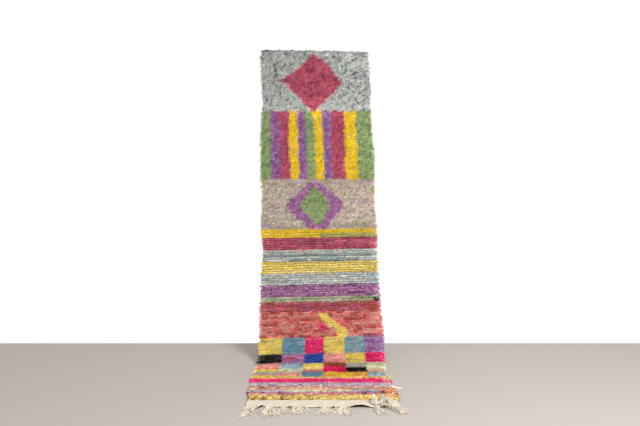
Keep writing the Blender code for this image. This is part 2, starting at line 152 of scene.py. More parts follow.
def rowLength(row, across):
    # length along the rug of a place in a row of knots, which isn't quite level
    end = rug["pileLength"]
    slant = readTable(slants, row)[0]
    lead = rug["topSlant"] / 2 * (1 - blend(row, 0, rug["topRows"]))
    corner = rug["cornerDrop"] * abs(across) ** rug["cornerPower"]
    corner *= 1 - blend(row, 0, rug["cornerRows"])
    wander = rug["wander"] * waver(across, row, rug["wanders"])
    wander *= blend(row, *rug["wanderFull"]) * (1 - blend(row, end - rug["wanderStop"], end))
    return row + slant * across / 2 + lead + corner + wander


def pileDepth(length, across):
    # height of the pile over the rug's back, in soft lumps, thin at the rim
    lumps = waver(across, length, rug["lumps"])
    lumps += rug["fineShare"] * waver(across, length, rug["fineLumps"])
    swell = rug["lumpiness"] * max(min(fullNoise * lumps, 1), -1)
    depth = rug["pileDepth"] * (1 - rug["lumpiness"] + swell)
    end, rimLength = rug["pileLength"], rug["rimLength"]
    ends = max(1 - blend(length, 0, rimLength), blend(length, end - rimLength, end))
    rim = max(blend(abs(across), rug["rimFrom"], 1), ends)
    return depth + (rug["rimDepth"] - depth) * rim


# Yarns: the colours of the dyed wools, as sRGB.
yarns = {
    "grey": (201, 204, 201),
    "iron": (122, 126, 126),
    "charcoal": (84, 87, 88),
    "mint": (180, 208, 196),
    "cream": (240, 230, 210),
    "raspberry": (203, 87, 111),
    "wine": (160, 58, 82),
    "rose": (212, 98, 130),
    "plum": (132, 62, 122),
    "purple": (178, 108, 172),
    "iris": (136, 100, 180),
    "mallow": (190, 129, 181),
    "violet": (209, 142, 201),
    "lilac": (200, 176, 198),
    "yellow": (252, 216, 34),
    "gold": (253, 226, 112),
    "straw": (252, 234, 146),
    "apricot": (240, 186, 118),
    "amber": (255, 226, 142),
    "green": (165, 188, 132),
    "deepGreen": (112, 140, 84),
    "olive": (190, 184, 100),
    "sage": (193, 190, 163),
    "oatmeal": (213, 198, 183),
    "tan": (170, 151, 134),
    "teal": (96, 159, 184),
    "steelBlue": (135, 167, 185),
    "lightBlue": (176, 200, 214),
    "paleGrey": (214, 217, 212),
    "slate": (188, 197, 193),
    "pewter": (148, 160, 161),
    "taupe": (212, 192, 175),
    "royalBlue": (40, 86, 186),
    "black": (13, 14, 17),
    "coral": (235, 116, 105),
    "darkCoral": (184, 68, 67),
    "salmon": (234, 158, 149),
    "blush": (252, 180, 170),
    "hotPink": (245, 38, 123),
    "orange": (244, 168, 84),
    "brick": (171, 80, 48),
    # painted shade: a dark yarn for the shade in the gaps between the last rows' gold tufts
    "umberGapShade": (142, 98, 40),
    "peach": (244, 206, 180),
    "mauve": (204, 140, 158),
    "mintWhite": (230, 240, 200),
}

# Yarns that stray into a field of another one: each with its share of the field's knots.
strays = {
    "grey": [("iron", 0.15), ("paleGrey", 0.16), ("charcoal", 0.03)],
    "oatmeal": [("tan", 0.14), ("cream", 0.08)],
    "raspberry": [("rose", 0.18), ("plum", 0.04), ("wine", 0.14)],
    "purple": [("iris", 0.22), ("plum", 0.11), ("lilac", 0.09)],
    "mallow": [("plum", 0.14), ("lilac", 0.05)],
    "violet": [("plum", 0.10), ("lilac", 0.05)],
    "green": [("deepGreen", 0.16), ("olive", 0.06)],
    "yellow": [("gold", 0.12)],
    "gold": [("yellow", 0.12), ("cream", 0.03)],
    "straw": [("gold", 0.25), ("olive", 0.08)],
    "teal": [("steelBlue", 0.16), ("slate", 0.05)],
    "steelBlue": [("teal", 0.12), ("slate", 0.15)],
    "paleGrey": [("slate", 0.20), ("cream", 0.04)],
    "coral": [("salmon", 0.20), ("darkCoral", 0.16)],
}
fastDyes = {"hotPink", "black", "royalBlue", "brick", "charcoal", "umberGapShade"}  # these don't fade, nor does the painted shade of umberGapShade
evenDyes = {"yellow", "gold", "straw", "amber"}

# Shapes knotted into the plain panels, as corners: across from the middle line, row. Their
# slanted sides go in steps of so much of a row's length.
chartStep = 0.0205
raspberryDiamond = [
    (-0.254, 0.240), (-0.146, 0.165), (-0.020, 0.045), (0.022, 0.045), (0.075, 0.080), (0.203, 0.258),
    (0.000, 0.474), (-0.024, 0.474),
]
purpleDiamond = [
    (-0.224, 1.163), (-0.084, 1.036), (-0.062, 1.002), (0.010, 1.004), (0.172, 1.140), (0.192, 1.180),
    (0.080, 1.312), (0.066, 1.345), (-0.074, 1.345), (-0.092, 1.318), (-0.215, 1.200),
]
greenDiamond = [
    (-0.132, 1.180), (-0.078, 1.108), (-0.042, 1.048), (-0.004, 1.048), (0.038, 1.096), (0.092, 1.180),
    (0.054, 1.254), (0.022, 1.314), (-0.020, 1.314), (-0.080, 1.238),
]
zigzag = [
    (-0.012, 1.952), (0.058, 1.950), (0.070, 1.985), (0.108, 2.030), (0.162, 2.058), (0.186, 2.084),
    (0.176, 2.132), (0.116, 2.132), (0.098, 2.064), (0.044, 2.036), (0.006, 1.996),
]

# Dark ties in the grey panel: across, row.
darkTies = [
    (-0.307, 0.123), (-0.290, 0.165), (-0.270, 0.205), (-0.256, 0.246), (-0.203, 0.031), (0.228, 0.146),
    (0.288, 0.184), (0.303, 0.215), (0.198, 0.353), (0.208, 0.338), (-0.350, 0.010),
]

# Places where the wool as a whole is made darker or paler: across, row, half width, half
# height and change. The last of them is painted shade over the rows at the bend, which face the light.
shades = [
    (-0.270, 0.200, 0.20, 0.20, -0.03), (0.000, 0.445, 0.50, 0.10, 0.20),
    (-0.330, 0.020, 0.10, 0.05, -0.20), (0.270, 0.090, 0.22, 0.14, 0.04),
    (-0.300, 1.120, 0.20, 0.22, 0.02), (0.300, 1.150, 0.20, 0.22, 0.06),
    # painted shade: the rows at the bend, which face the light, are made darker
    (0.000, 2.500, 0.60, 0.10, -0.08),
]

# Warpwise stripes: where each ends at the panel's top and further down, and its yarn.
stripes = [
    (-0.339, -0.332, "green"), (-0.269, -0.262, "purple"), (-0.190, -0.193, "raspberry"),
    (-0.143, -0.1265, "yellow"), (-0.087, -0.073, "purple"), (-0.0235, -0.007, "green"),
    (0.042, 0.0545, "yellow"), (0.120, 0.109, "purple"), (0.209, 0.210, "raspberry"),
    (0.293, 0.299, "yellow"), (1.0, 1.0, "green"),
]

# Rows of checks: where the row ends, and its yarns from left to right.
checkColumns = [-0.250, -0.105, 0.023, 0.160, 0.290, 1.0]
checks = [
    (2.254, ("gold", "teal", "hotPink", "gold", "steelBlue", "purple")),
    (2.369, ("black", "violet", "royalBlue", "blush", "gold", "hotPink")),
    (2.452, ("blush", "lightBlue", "straw", "brick", "taupe", "mintWhite")),
    (2.476, ("blush", "lightBlue", "straw", "hotPink", "black", "mintWhite")),
    (2.502, ("orange", "mintWhite", "straw", "hotPink", "black", "peach")),
    (2.550, ("straw", "mintWhite", "salmon", "hotPink", "black", "peach")),
]
lastColumns = [-0.250, -0.105, 0.018, 0.290, 1.0]
lastChecks = ("slate", "blush", "teal", "yellow", "lightBlue")


def inside(shape, u, row):
    # whether a place lies inside a closed outline, whose slanted sides are stepped
    row = (math.floor(row / chartStep) + 0.5) * chartStep
    found = False
    for (u0, r0), (u1, r1) in zip(shape, shape[1:] + shape[:1]):
        if (r0 > row) != (r1 > row) and u < u0 + (row - r0) / (r1 - r0) * (u1 - u0):
            found = not found
    return found


def cloud(u, row, patches):
    # soft patches of the given width, height and seed, from about -1 to 1
    wide, tall, seed = patches
    return fullNoise * noise.noise(Vector((u / wide, row / tall, seed)))


def near(shape, u, row, margin):
    # whether a place lies inside an outline or within a margin beside it
    steps = ((margin, 0), (-margin, 0), (0, margin), (0, -margin))
    return any(inside(shape, u + aside, row + down) for aside, down in steps)


def within(box, u, row):
    # whether a place lies in a box of left side, right side, first row and last row
    left, right, first, last = box
    return left < u < right and first < row < last


# Each panel gives the yarn of a knot in it. Other yarns come in patches of a width, a height
# and a seed, and show over or under the level beside them.
greyLook = {
    "diamondPatches": (0.035, 0.030, 1.5),
    "roseOver": 0.45,
    "wineUnder": -0.60,
    "halo": 0.016,           # the pale rim around the diamond
    "fullHalo": 0.26,        # row from which it is unbroken
    "haloShare": 0.4,        # share of its knots before that row
    "tie": 0.010,            # half width of a dark tie
    "darkPatches": (0.014, 0.026, 4.2),
    "darkOver": 1.04,
    "darkLeft": 0.22,        # how much lower that level is at the left
    "leftFrom": (-0.05, 0.25),
    "mintPatches": (0.07, 0.045, 9.6),
    "nearMint": (0.075, 0.30, 0.7),  # reach around the diamond, level and share of knots
    "farMint": (0.85, 0.6),  # level and share elsewhere
    "palePatches": (0.05, 0.03, 6.1),
    "paleOver": 0.80,
}


def greyPanel(u, row, chance):
    if inside(raspberryDiamond, u, row):
        patch = cloud(u, row, greyLook["diamondPatches"])
        if patch > greyLook["roseOver"]:
            return "rose"
        return "wine" if patch < greyLook["wineUnder"] else "raspberry"
    inHalo = near(raspberryDiamond, u, row, greyLook["halo"])
    if inHalo and (row > greyLook["fullHalo"] or chance.random() < greyLook["haloShare"]):
        return chance.choice(("cream", "paleGrey", "lilac"))
    if any(math.hypot(u - across, row - down) < greyLook["tie"] for across, down in darkTies):
        return "charcoal"
    level = greyLook["darkOver"] - greyLook["darkLeft"] * blend(-u, *greyLook["leftFrom"])
    if cloud(u, row, greyLook["darkPatches"]) > level:
        return "charcoal"
    tint = cloud(u, row, greyLook["mintPatches"])
    reach, level, share = greyLook["nearMint"]
    if tint > level and near(raspberryDiamond, u, row, reach) and chance.random() < share:
        return "mint"
    level, share = greyLook["farMint"]
    if tint > level and chance.random() < share:
        return "mint"
    if cloud(u, row, greyLook["palePatches"]) > greyLook["paleOver"]:
        return "lilac" if chance.random() < 0.5 else "paleGrey"
    return "grey"


stripeLook = {
    "settled": (0.48, 0.65),  # rows between which a stripe's edge finds its place
    "jag": 0.007,
    "jags": (9, 75, 2.7),
}


def stripePanel(u, row, chance):
    settled = blend(row, *stripeLook["settled"])
    edge = u + stripeLook["jag"] * waver(u, row, stripeLook["jags"])
    return next(yarn for top, low, yarn in stripes if edge < top + (low - top) * settled)


oatmealLook = {
    "plain": (1.02, 1.325),  # rows between which no flecks are scattered
    "lilacFlecks": 0.35,     # share of the other rows' knots
    "allFlecks": 0.60,
    "lilac": (0.10, 0.018, 6.6),
    "olive": (0.07, 0.022, 1.2),
    "over": 0.85,
}


def oatmealPanel(u, row, chance):
    if inside(greenDiamond, u, row):
        return "green"
    if inside(purpleDiamond, u, row):
        return "mallow"
    first, last = oatmealLook["plain"]
    if row < first or row > last:
        fleck = chance.random()
        if fleck < oatmealLook["allFlecks"]:
            return "lilac" if fleck < oatmealLook["lilacFlecks"] else "olive"
    for yarn in ("lilac", "olive"):
        if cloud(u, row, oatmealLook[yarn]) > oatmealLook["over"]:
            return yarn
    return "oatmeal"


coralLook = {
    "pinkTie": (-0.02, 0.045, 2.02, 2.075),
    "pinkShare": 0.5,
    "oliveTie": (-0.02, 0.06, 2.098, 2.112),
    "streaks": (0.055, 0.030, 3.9),
    "lowRow": 2.05,          # from which the streaks are finer
    "lowStreaks": (0.055, 0.018, 3.9),
    "salmonOver": 0.28,
    "darkUnder": -0.45,
}


def coralPanel(u, row, chance):
    if inside(zigzag, u, row):
        return "gold"
    if within(coralLook["pinkTie"], u, row) and chance.random() < coralLook["pinkShare"]:
        return "hotPink"
    if within(coralLook["oliveTie"], u, row):
        return "olive"
    streaks = coralLook["streaks" if row < coralLook["lowRow"] else "lowStreaks"]
    streak = cloud(u, row, streaks)
    if streak > coralLook["salmonOver"]:
        return "salmon"
    return "darkCoral" if streak < coralLook["darkUnder"] else "coral"


# Streaks of another yarn in the checks: which way they go from the middle tone, how far, yarn.
checkPatches = (0.09, 0.012, 4.4)
checkStreaks = {
    "teal": (1, 0.6, "steelBlue"), "steelBlue": (1, 0.6, "slate"), "violet": (-1, 0.55, "rose"),
    "taupe": (1, 0.3, "slate"), "gold": (1, 0.7, "olive"),
}


def columnAt(columns, u):
    return next(index for index, end in enumerate(columns) if u < end)


def checkPanel(u, row, chance):
    yarnRow = next(yarnRow for end, yarnRow in checks if row < end)
    yarn = yarnRow[columnAt(checkColumns, u)]
    if yarn not in checkStreaks:
        return yarn
    way, level, streakYarn = checkStreaks[yarn]
    return streakYarn if way * cloud(u, row, checkPatches) > level else yarn


# The bands of rows below the panels and between them.
bandLook = {
    "streaks": (0.030, 0.012, 8.4),
    "looseStreaks": 0.12,
    "mixed": (0.08, 0.014, 5.5),
    "broken": (0.16, 0.02, 7.3),  # gaps in the thin slate lines
    "brokenOver": 0.38,
    "oliveFrom": 0.015,      # across, in the half yellow band
    "greyTo": -0.20,         # across, in the thin pale line
    "greyShare": 0.7,
    "blueFrom": 0.17,
    "salmonEnd": (0.362, 1.0, 2.650, 2.715),
}


def streaked(*parts):
    # a band of many short streaks, in which the yarns named in the middle show most
    def panel(u, row, chance):
        share = 0.5 + 0.5 * cloud(u, row, bandLook["streaks"])
        share += bandLook["looseStreaks"] * chance.uniform(-1, 1)
        return parts[min(max(int(share * len(parts)), 0), len(parts) - 1)]
    return panel


warmRows = streaked("apricot", "yellow", "gold", "straw", "peach")


lastLook = {
    "warmFrom": 2.612,       # rows of the warm streaks under the two left checks
    "salmonFrom": 2.590,
    "orange": (0.08, 0.015, 2.2),
    "orangeOver": 0.1,
}


def lastCheckPanel(u, row, chance):
    yarn = lastChecks[columnAt(lastColumns, u)]
    if row > lastLook["warmFrom"] and u < lastColumns[1]:
        return warmRows(u, row, chance)
    if row > lastLook["salmonFrom"] and yarn == "slate":
        return "salmon"
    if yarn == "yellow" and cloud(u, row, lastLook["orange"]) > lastLook["orangeOver"]:
        return "orange"
    return yarn


def mixed(main, other, share):
    # a band of one yarn with streaks of another
    def panel(u, row, chance):
        return other if cloud(u, row, bandLook["mixed"]) > 1 - 2 * share else main
    return panel


def thinLine(u, row, chance):
    # the narrow pale line, greyer at the left and bluer at the right
    if u < bandLook["greyTo"]:
        return "paleGrey" if chance.random() < bandLook["greyShare"] else "lilac"
    return "lightBlue" if u > bandLook["blueFrom"] else "mintWhite"


def pinkRows(u, row, chance):
    # the right end of the first rows is paler
    return "salmon" if within(bandLook["salmonEnd"], u, row) else "hotPink"


slateLines = {
    "from": 1.5145,
    "each": 0.0169,
    "yarns": ("slate", "pewter", "mint", "pewter", "mint"),
}


def slatePanel(u, row, chance):
    # thin dark and pale lines over the whole width, broken in places
    if cloud(u, row, bandLook["broken"]) > bandLook["brokenOver"]:
        return "paleGrey"
    return slateLines["yarns"][int((row - slateLines["from"]) / slateLines["each"])]


def yellowAndGreen(u, row, chance):
    return "olive" if u > bandLook["oliveFrom"] else "yellow"


# Bands of rows from the top edge: where each ends, and its yarn or its panel.
bands = [
    (0.476, greyPanel), (0.986, stripePanel), (1.352, oatmealPanel),
    (1.380, "yellow"), (1.412, yellowAndGreen), (1.499, mixed("raspberry", "rose", 0.35)),
    (1.508, mixed("paleGrey", "peach", 0.4)), (1.583, slatePanel),
    (1.666, mixed("gold", "straw", 0.5)), (1.744, mixed("paleGrey", "lightBlue", 0.3)),
    (1.758, mixed("mallow", "plum", 0.4)), (1.828, mixed("mallow", "plum", 0.15)),
    (1.839, "cream"), (1.874, mixed("sage", "green", 0.3)),
    (1.943, mixed("raspberry", "darkCoral", 0.4)), (2.130, coralPanel), (2.550, checkPanel),
    (2.632, lastCheckPanel), (2.666, warmRows), (2.750, pinkRows),
    (2.822, streaked("mallow", "lilac", "lilac", "lightBlue", "cream")),
    (2.889, streaked("brick", "salmon", "blush", "apricot", "peach")), (2.932, thinLine),
    (2.990, streaked("plum", "raspberry", "mauve", "salmon", "peach")),
    (9.0, streaked("orange", "amber", "gold", "amber", "straw")),
]

# What breaks into the bands: boxes of left side, right side, first row and last row, and the
# patches in them.
breaks = {
    "blackTie": (0.365, 0.41, 1.846, 1.864),
    "rightEnd": (0.318, 1.0, 2.895, 3.035),
    "brickEnd": (0.318, 0.352, 2.895, 2.975),
    "endPatches": (0.02, 0.03, 1.1),
    "brickOver": -0.1,       # levels of those patches: in the brick end, and in the rest
    "brickUnder": -0.4,
    "orangeUnder": 0.35,
    # painted shade: umber flecks for the shade between the gold tufts of the last rows
    "umberRows": (-1.0, -0.02, 2.985, 9.0),
    "umberGapShade": (0.010, 0.05, 3.4),
    "umberOver": 0.45,
}


def rightEnd(u, row):
    # warm patches at the right side, before the last rows
    patch = cloud(u, row, breaks["endPatches"])
    if within(breaks["brickEnd"], u, row):
        return "brick" if patch > breaks["brickOver"] else "salmon"
    if patch < breaks["brickUnder"]:
        return "brick"
    return "orange" if patch < breaks["orangeUnder"] else "peach"


def yarnAt(u, row, chance):
    if within(breaks["blackTie"], u, row):
        return "black"
    if within(breaks["rightEnd"], u, row):
        return rightEnd(u, row)
    if within(breaks["umberRows"], u, row) and cloud(u, row, breaks["umberGapShade"]) > breaks["umberOver"]:
        return "umberGapShade"
    kind = next(kind for end, kind in bands if row < end)
    yarn = kind if isinstance(kind, str) else kind(u, row, chance)
    draw = chance.random()
    for stray, share in strays.get(yarn, ()):
        draw -= share
        if draw < 0:
            return stray
    return yarn


def toLinear(colour):
    # from sRGB, 0 to 255, to the linear light that materials take
    return [(c / 255 / 12.92) if c < 10.3 else ((c / 255 + 0.055) / 1.055) ** 2.4 for c in colour]


dyed = {name: np.array(toLinear(colour)) for name, colour in yarns.items()}
dyeAndPaintedShade = {
    "rowWaves": (3.5, 130, 6.6),  # how a dye lot's depth changes along its rows
    "patches": 0.08,         # how much soft patches are lighter or darker
    "patchSizes": (0.05, 0.04, 2.9),
    "evenShare": 0.6,        # of the knots' own unevenness, in the even dyes
    "fade": 0.06,            # most of a knot's colour that has faded to cream
    "backAbrash": 0.3,
    "backUneven": 0.15,
    "floorPaintedShade": 0.11,      # painted shade: how much darker the rows lying on the floor are made, as they face the light
    "floorRows": (2.50, 2.72),
    "shadeCore": 0.3,        # share of a shade's size over which it is full
    "least": 0.2,
}


def toneAt(yarn, u, row, abrash, uneven, chance):
    # colour of one knot: each dye lot runs a little light or dark along its rows, and painted shade
    # darkens the rows on the floor
    uneven *= dyeAndPaintedShade["evenShare"] if yarn in evenDyes else 1
    depth = 1 + abrash * waver(u, row, dyeAndPaintedShade["rowWaves"])
    depth += uneven * chance.uniform(-1, 1) + dyeAndPaintedShade["patches"] * cloud(u, row, dyeAndPaintedShade["patchSizes"])
    # painted shade: the rows that lie on the floor are made darker
    depth *= 1 - dyeAndPaintedShade["floorPaintedShade"] * blend(row, *dyeAndPaintedShade["floorRows"])
    # patches made darker or paler, among them the painted shade at the bend
    for across, down, wide, tall, change in shades:
        away = math.hypot((u - across) / wide, (row - down) / tall)
        depth += change * (1 - blend(away, dyeAndPaintedShade["shadeCore"], 1))
    fade = 0 if yarn in fastDyes else dyeAndPaintedShade["fade"] * chance.random()
    return (dyed[yarn] * (1 - fade) + dyed["cream"] * fade) * max(depth, dyeAndPaintedShade["least"])


# Sums on node sockets, for materials and for geometry.
class Socket:
    def __init__(self, bench, node, output):
        self.bench, self.node, self.output = bench, node, output

    def of(self, name):
        return Socket(self.bench, self.node, self.node.outputs[name])

    def sum(self, operation, *values):
        return self.bench.add("ShaderNodeMath", {"operation": operation}, dict(enumerate(values)))

    def sine(self, pace):
        return self.sum("SINE", self * pace)

    def __add__(self, other):
        return self.sum("ADD", self, other)

    def __sub__(self, other):
        return self.sum("SUBTRACT", self, other)

    def __mul__(self, other):
        return self.sum("MULTIPLY", self, other)

    def __pow__(self, other):
        return self.sum("POWER", self, other)

    def __gt__(self, other):
        return self.sum("GREATER_THAN", self, other)

    def __rsub__(self, other):
        return self.sum("SUBTRACT", other, self)

    def __rtruediv__(self, other):
        return self.sum("DIVIDE", other, self)

    __radd__ = __add__
    __rmul__ = __mul__


class Bench:
    # adds nodes to a tree: a type, its settings, and its sockets' values or links
    def __init__(self, tree):
        self.tree = tree

    def add(self, kind, settings=None, values=None, output=0):
        node = self.tree.nodes.new(kind)
        for name, value in (settings or {}).items():
            setattr(node, name, value)
        for name, value in (values or {}).items():
            if isinstance(value, Socket):
                self.tree.links.new(value.output, node.inputs[name])
            else:
                node.inputs[name].default_value = value
        if not node.outputs:
            return node
        return Socket(self, node, node.outputs[output])

    def vector(self, operation, *values):
        return self.add("ShaderNodeVectorMath", {"operation": operation}, dict(enumerate(values)))

    def scaled(self, vector, share):
        return self.add("ShaderNodeVectorMath", {"operation": "SCALE"}, {0: vector, "Scale": share})

    def joined(self, x, y, z):
        return self.add("ShaderNodeCombineXYZ", None, {0: x, 1: y, 2: z})

    def mixed(self, share, first, second, kind="MIX"):
        settings = {"data_type": "RGBA", "blend_type": kind, "clamp_result": False}
        return self.add("ShaderNodeMix", settings, {0: share, 6: first, 7: second}, output=2)

    def toned(self, colour, share):
        return self.mixed(1.0, colour, self.joined(share, share, share), "MULTIPLY")

    def split(self, vector):
        return self.add("ShaderNodeSeparateXYZ", None, {0: vector})

    def noise(self, vector, scale, detail):
        values = {"Vector": vector, "Scale": scale, "Detail": detail}
        return self.add("ShaderNodeTexNoise", None, values)

    def attribute(self, name, output="Fac"):
        return self.add("ShaderNodeAttribute", {"attribute_name": name}, output=output)

    def named(self, name, kind="FLOAT_VECTOR"):
        return self.add("GeometryNodeInputNamedAttribute", {"data_type": kind}, {"Name": name})

    def stored(self, geometry, name, value, kind="FLOAT", domain="POINT"):
        settings = {"data_type": kind, "domain": domain}
        values = {"Geometry": geometry, "Name": name, "Value": value}
        return self.add("GeometryNodeStoreNamedAttribute", settings, values)

    def storedMap(self, geometry, name, value):
        return self.stored(geometry, name, value, "FLOAT2", "CORNER")


def geometryTree(name, inputs):
    # a tree with a geometry in and out, and the named inputs of each kind
    tree = bpy.data.node_groups.new(name, "GeometryNodeTree")
    tree.interface.new_socket("Geometry", in_out="OUTPUT", socket_type="NodeSocketGeometry")
    tree.interface.new_socket("Geometry", in_out="INPUT", socket_type="NodeSocketGeometry")
    for kind, labels in inputs.items():
        for label in labels:
            tree.interface.new_socket(label, in_out="INPUT", socket_type="NodeSocket" + kind)
    return tree, Bench(tree)


def applyModifiers(piece):
    # the piece's shape, as its modifiers make it, becomes its plain mesh
    bpy.context.view_layer.update()
    graph = bpy.context.evaluated_depsgraph_get()
    shaped = bpy.data.meshes.new_from_object(piece.evaluated_get(graph))
    before = piece.data
    piece.modifiers.clear()
    piece.data = shaped
    bpy.data.meshes.remove(before)
    shaped.name = piece.name


def runTree(piece, tree, sizes):
    # the tree's result takes the place of the piece's own mesh
    made = piece.modifiers.new("tree", "NODES")
    made.node_group = tree
    for item in tree.interface.items_tree:
        if item.in_out == "INPUT" and item.name in sizes:
            made[item.identifier] = sizes[item.name]
    applyModifiers(piece)
    return piece


def newPiece(name, mesh):
    piece = bpy.data.objects.new(name, mesh)
    bpy.context.scene.collection.objects.link(piece)
    return piece


def addLayer(mesh, name, kind, field, values):
    # an attribute of the mesh's points
    layer = mesh.attributes.new(name, kind, "POINT")
    layer.data.foreach_set(field, np.array(values, np.float32).ravel())


def triangles(piece):
    return sum(len(face.vertices) - 2 for face in piece.data.polygons)


# Materials: a bump is given by its strength and its height in metres.
def newMaterial(name, roughness, sheen=0.0, gloss=0.25):
    material = bpy.data.materials.new(name)
    material.use_nodes = True
    inputs = material.node_tree.nodes["Principled BSDF"].inputs
    inputs["Roughness"].default_value = roughness
    inputs["Specular IOR Level"].default_value = gloss
    inputs["Sheen Weight"].default_value = sheen
    inputs["Sheen Roughness"].default_value = 0.5
    return material


def finishShader(bench, colour, height, bump):
    strength, distance = bump
    values = {"Strength": strength, "Distance": distance, "Height": height}
    relief = bench.add("ShaderNodeBump", None, values)
    shader = bench.tree.nodes["Principled BSDF"]
    bench.tree.links.new(colour.output, shader.inputs["Base Color"])
    bench.tree.links.new(relief.output, shader.inputs["Normal"])


woolLook = {
    "roughness": 0.95,
    "sheen": 0.03,
    "gloss": 0.12,
    "fibreScale": 900.0,
    "strands": (22.0, 2.5, 1.0),  # light and dark fibres around an end and along it
    "tip": 1.1,              # painted light at the tip of an end; the painted shade at its root comes from its panel
    "plain": 0.78,
    "fibreShare": 0.2,
    "strandShare": 0.24,
    "bump": (0.4, 0.0008),
}


def woolPile():
    # dyed pile wool with painted shade, darker at the root, and painted light at the tip, with fine
    # light and dark fibres
    look = woolLook
    material = newMaterial("woolPile", look["roughness"], look["sheen"], look["gloss"])
    bench = Bench(material.node_tree)
    place = bench.add("ShaderNodeTexCoord", output="Object")
    fibres = bench.noise(place, look["fibreScale"], 2.0)
    endMap = bench.add("ShaderNodeUVMap", {"uv_map": "endMap"})
    strands = bench.noise(bench.vector("MULTIPLY", endMap, look["strands"]), 1.0, 2.0)
    root, along = bench.attribute("root"), bench.attribute("along")
    # painted shade towards each end's root and painted light at its tip
    light = root + (look["tip"] - root) * along
    wool = look["plain"] + look["fibreShare"] * fibres + look["strandShare"] * strands
    colour = bench.toned(bench.attribute("yarn", 0), light * wool * bench.attribute("tone"))
    finishShader(bench, colour, strands, look["bump"])
    return material


groundLook = {
    "roughness": 0.95,
    "rowHeight": 0.7,
    "columnHeight": 0.3,
    "knotShade": (0.80, 0.78, 0.76),
    "weft": (0.62, 0.56, 0.46, 1),
    "weftFrom": 0.78,        # how far up a row the weft begins to show
    "weftShare": 0.55,
    "bump": (0.6, 0.001),
}


def groundWeave():
    # back of the knots: each knot's colour in its cell, between rows of undyed weft
    look = groundLook
    material = newMaterial("groundWeave", look["roughness"])
    bench = Bench(material.node_tree)
    cell = bench.split(bench.add("ShaderNodeUVMap", {"uv_map": "weave"}))
    knotRow = cell.of("Y").sine(2 * math.pi) * 0.5 + 0.5
    knotColumn = cell.of("X").sine(4 * math.pi) * 0.5 + 0.5
    height = knotRow * look["rowHeight"] + knotColumn * look["columnHeight"]
    body = bench.mixed(1.0, bench.attribute("yarn", 0), bench.joined(*look["knotShade"]), "MULTIPLY")
    colour = bench.mixed((knotRow > look["weftFrom"]) * look["weftShare"], body, look["weft"])
    finishShader(bench, colour, height, look["bump"])
    return material


creamLook = {
    "roughness": 0.9,
    "sheen": 0.1,
    "detail": 3.0,
    "fibreScale": 900.0,
    "plain": 0.9,
    "fibreShare": 0.2,
    "fibreHeight": 0.3,
    "gapPaintedShade": 0.84,         # painted shade between the threads of a cloth
    "threadPaintedLight": 0.22,
    "bump": (0.5, 0.0009),
}


def creamYarn(name, colour, shade, scale, weave=None):
    # undyed wool: soft shades along it, a fine fibre bump and, in cloth, threads of a given width with
    # painted shade between them
    look = creamLook
    material = newMaterial(name, look["roughness"], look["sheen"])
    bench = Bench(material.node_tree)
    place = bench.add("ShaderNodeTexCoord", output="Object")
    patches = bench.noise(place, scale, look["detail"])
    fibres = bench.noise(place, look["fibreScale"], look["detail"])
    wool = bench.mixed(patches, (*toLinear(colour), 1), (*toLinear(shade), 1))
    tone = look["plain"] + look["fibreShare"] * fibres
    height = fibres * look["fibreHeight"]
    if weave:
        axes = bench.split(place)
        warp, weft = axes.of("X").sine(2 * math.pi / weave), axes.of("Y").sine(math.pi / weave)
        threads = 0.5 + 0.5 * warp * weft
        height = height + threads
        # painted shade in the hollows between the threads, painted light on the threads
        tone = tone * (look["gapPaintedShade"] + look["threadPaintedLight"] * threads)
    finishShader(bench, bench.toned(wool, tone), height, look["bump"])
    return material


woolMaterial = woolPile()
groundMaterial = groundWeave()
skirtMaterial = creamYarn("skirtWeft", (186, 177, 160), (160, 151, 135), 34.0, weave=0.004)
fringeMaterial = creamYarn("warpYarn", (218, 207, 190), (186, 172, 152), 60.0)
selvedgeMaterial = creamYarn("selvedgeWrap", (206, 196, 176), (176, 164, 144), 40.0)
print("materials made")


# Pile: one knot for each place in the chart. Its ends of yarn stand out of the ground and
# fall down the rug.
pile = {
    "span": 0.998,           # share of the rug's width that the knots take
    "rightReach": 0.008,     # how much further the right side reaches than the outline
    "rightFrom": 0.7,        # share of half the width from which it does
    "looseAcross": 0.004,    # as a share of half the width
    "looseAlong": 0.0014,
    "wavers": (9, 60, 5.1),
    "nap": 0.58,             # how far the tips fall down the rug, as a share of the length
    "swirls": (7, 7, 1.9),   # how the nap turns, slowly and in clumps
    "clumps": (45, 40, 4.7),
    "clumpShare": 0.55,
    "rootHeight": 0.0015,    # over the rug's back
    "lead": 0.0105,          # how far the tips hang below their row
    "lowRise": 0.78,         # length of an end where the rug is thin, and what lumps add
    "lumpRise": 0.28,
    "raggedRows": (4, 130, 2.2),
    "widths": (0.85, 1.15),  # of the knots, as a share of their panel's width, both ways
    "depths": (0.7, 1.3),
    "leanFrom": 0.93,        # share of half the width from which knots lean over the sides
    "leftLean": 0.45,
    "rightLean": 1.25,
    "floorLean": (2.45, 2.65, 0.4),  # rows between which they lose this share of the lean
    "topRow": 0.03,          # the first rows lean up over the top edge
    "topLean": 0.9,
    "floorGap": 0.0006,      # least height of any tip over the floor
    "floorRows": (2.45, 2.70),  # between which the pile comes to lie flat on the floor
    "floorRise": 0.66,       # its length there
    "floorFall": 0.55,       # how far it leans down the rug there
    "seed": 7,
}

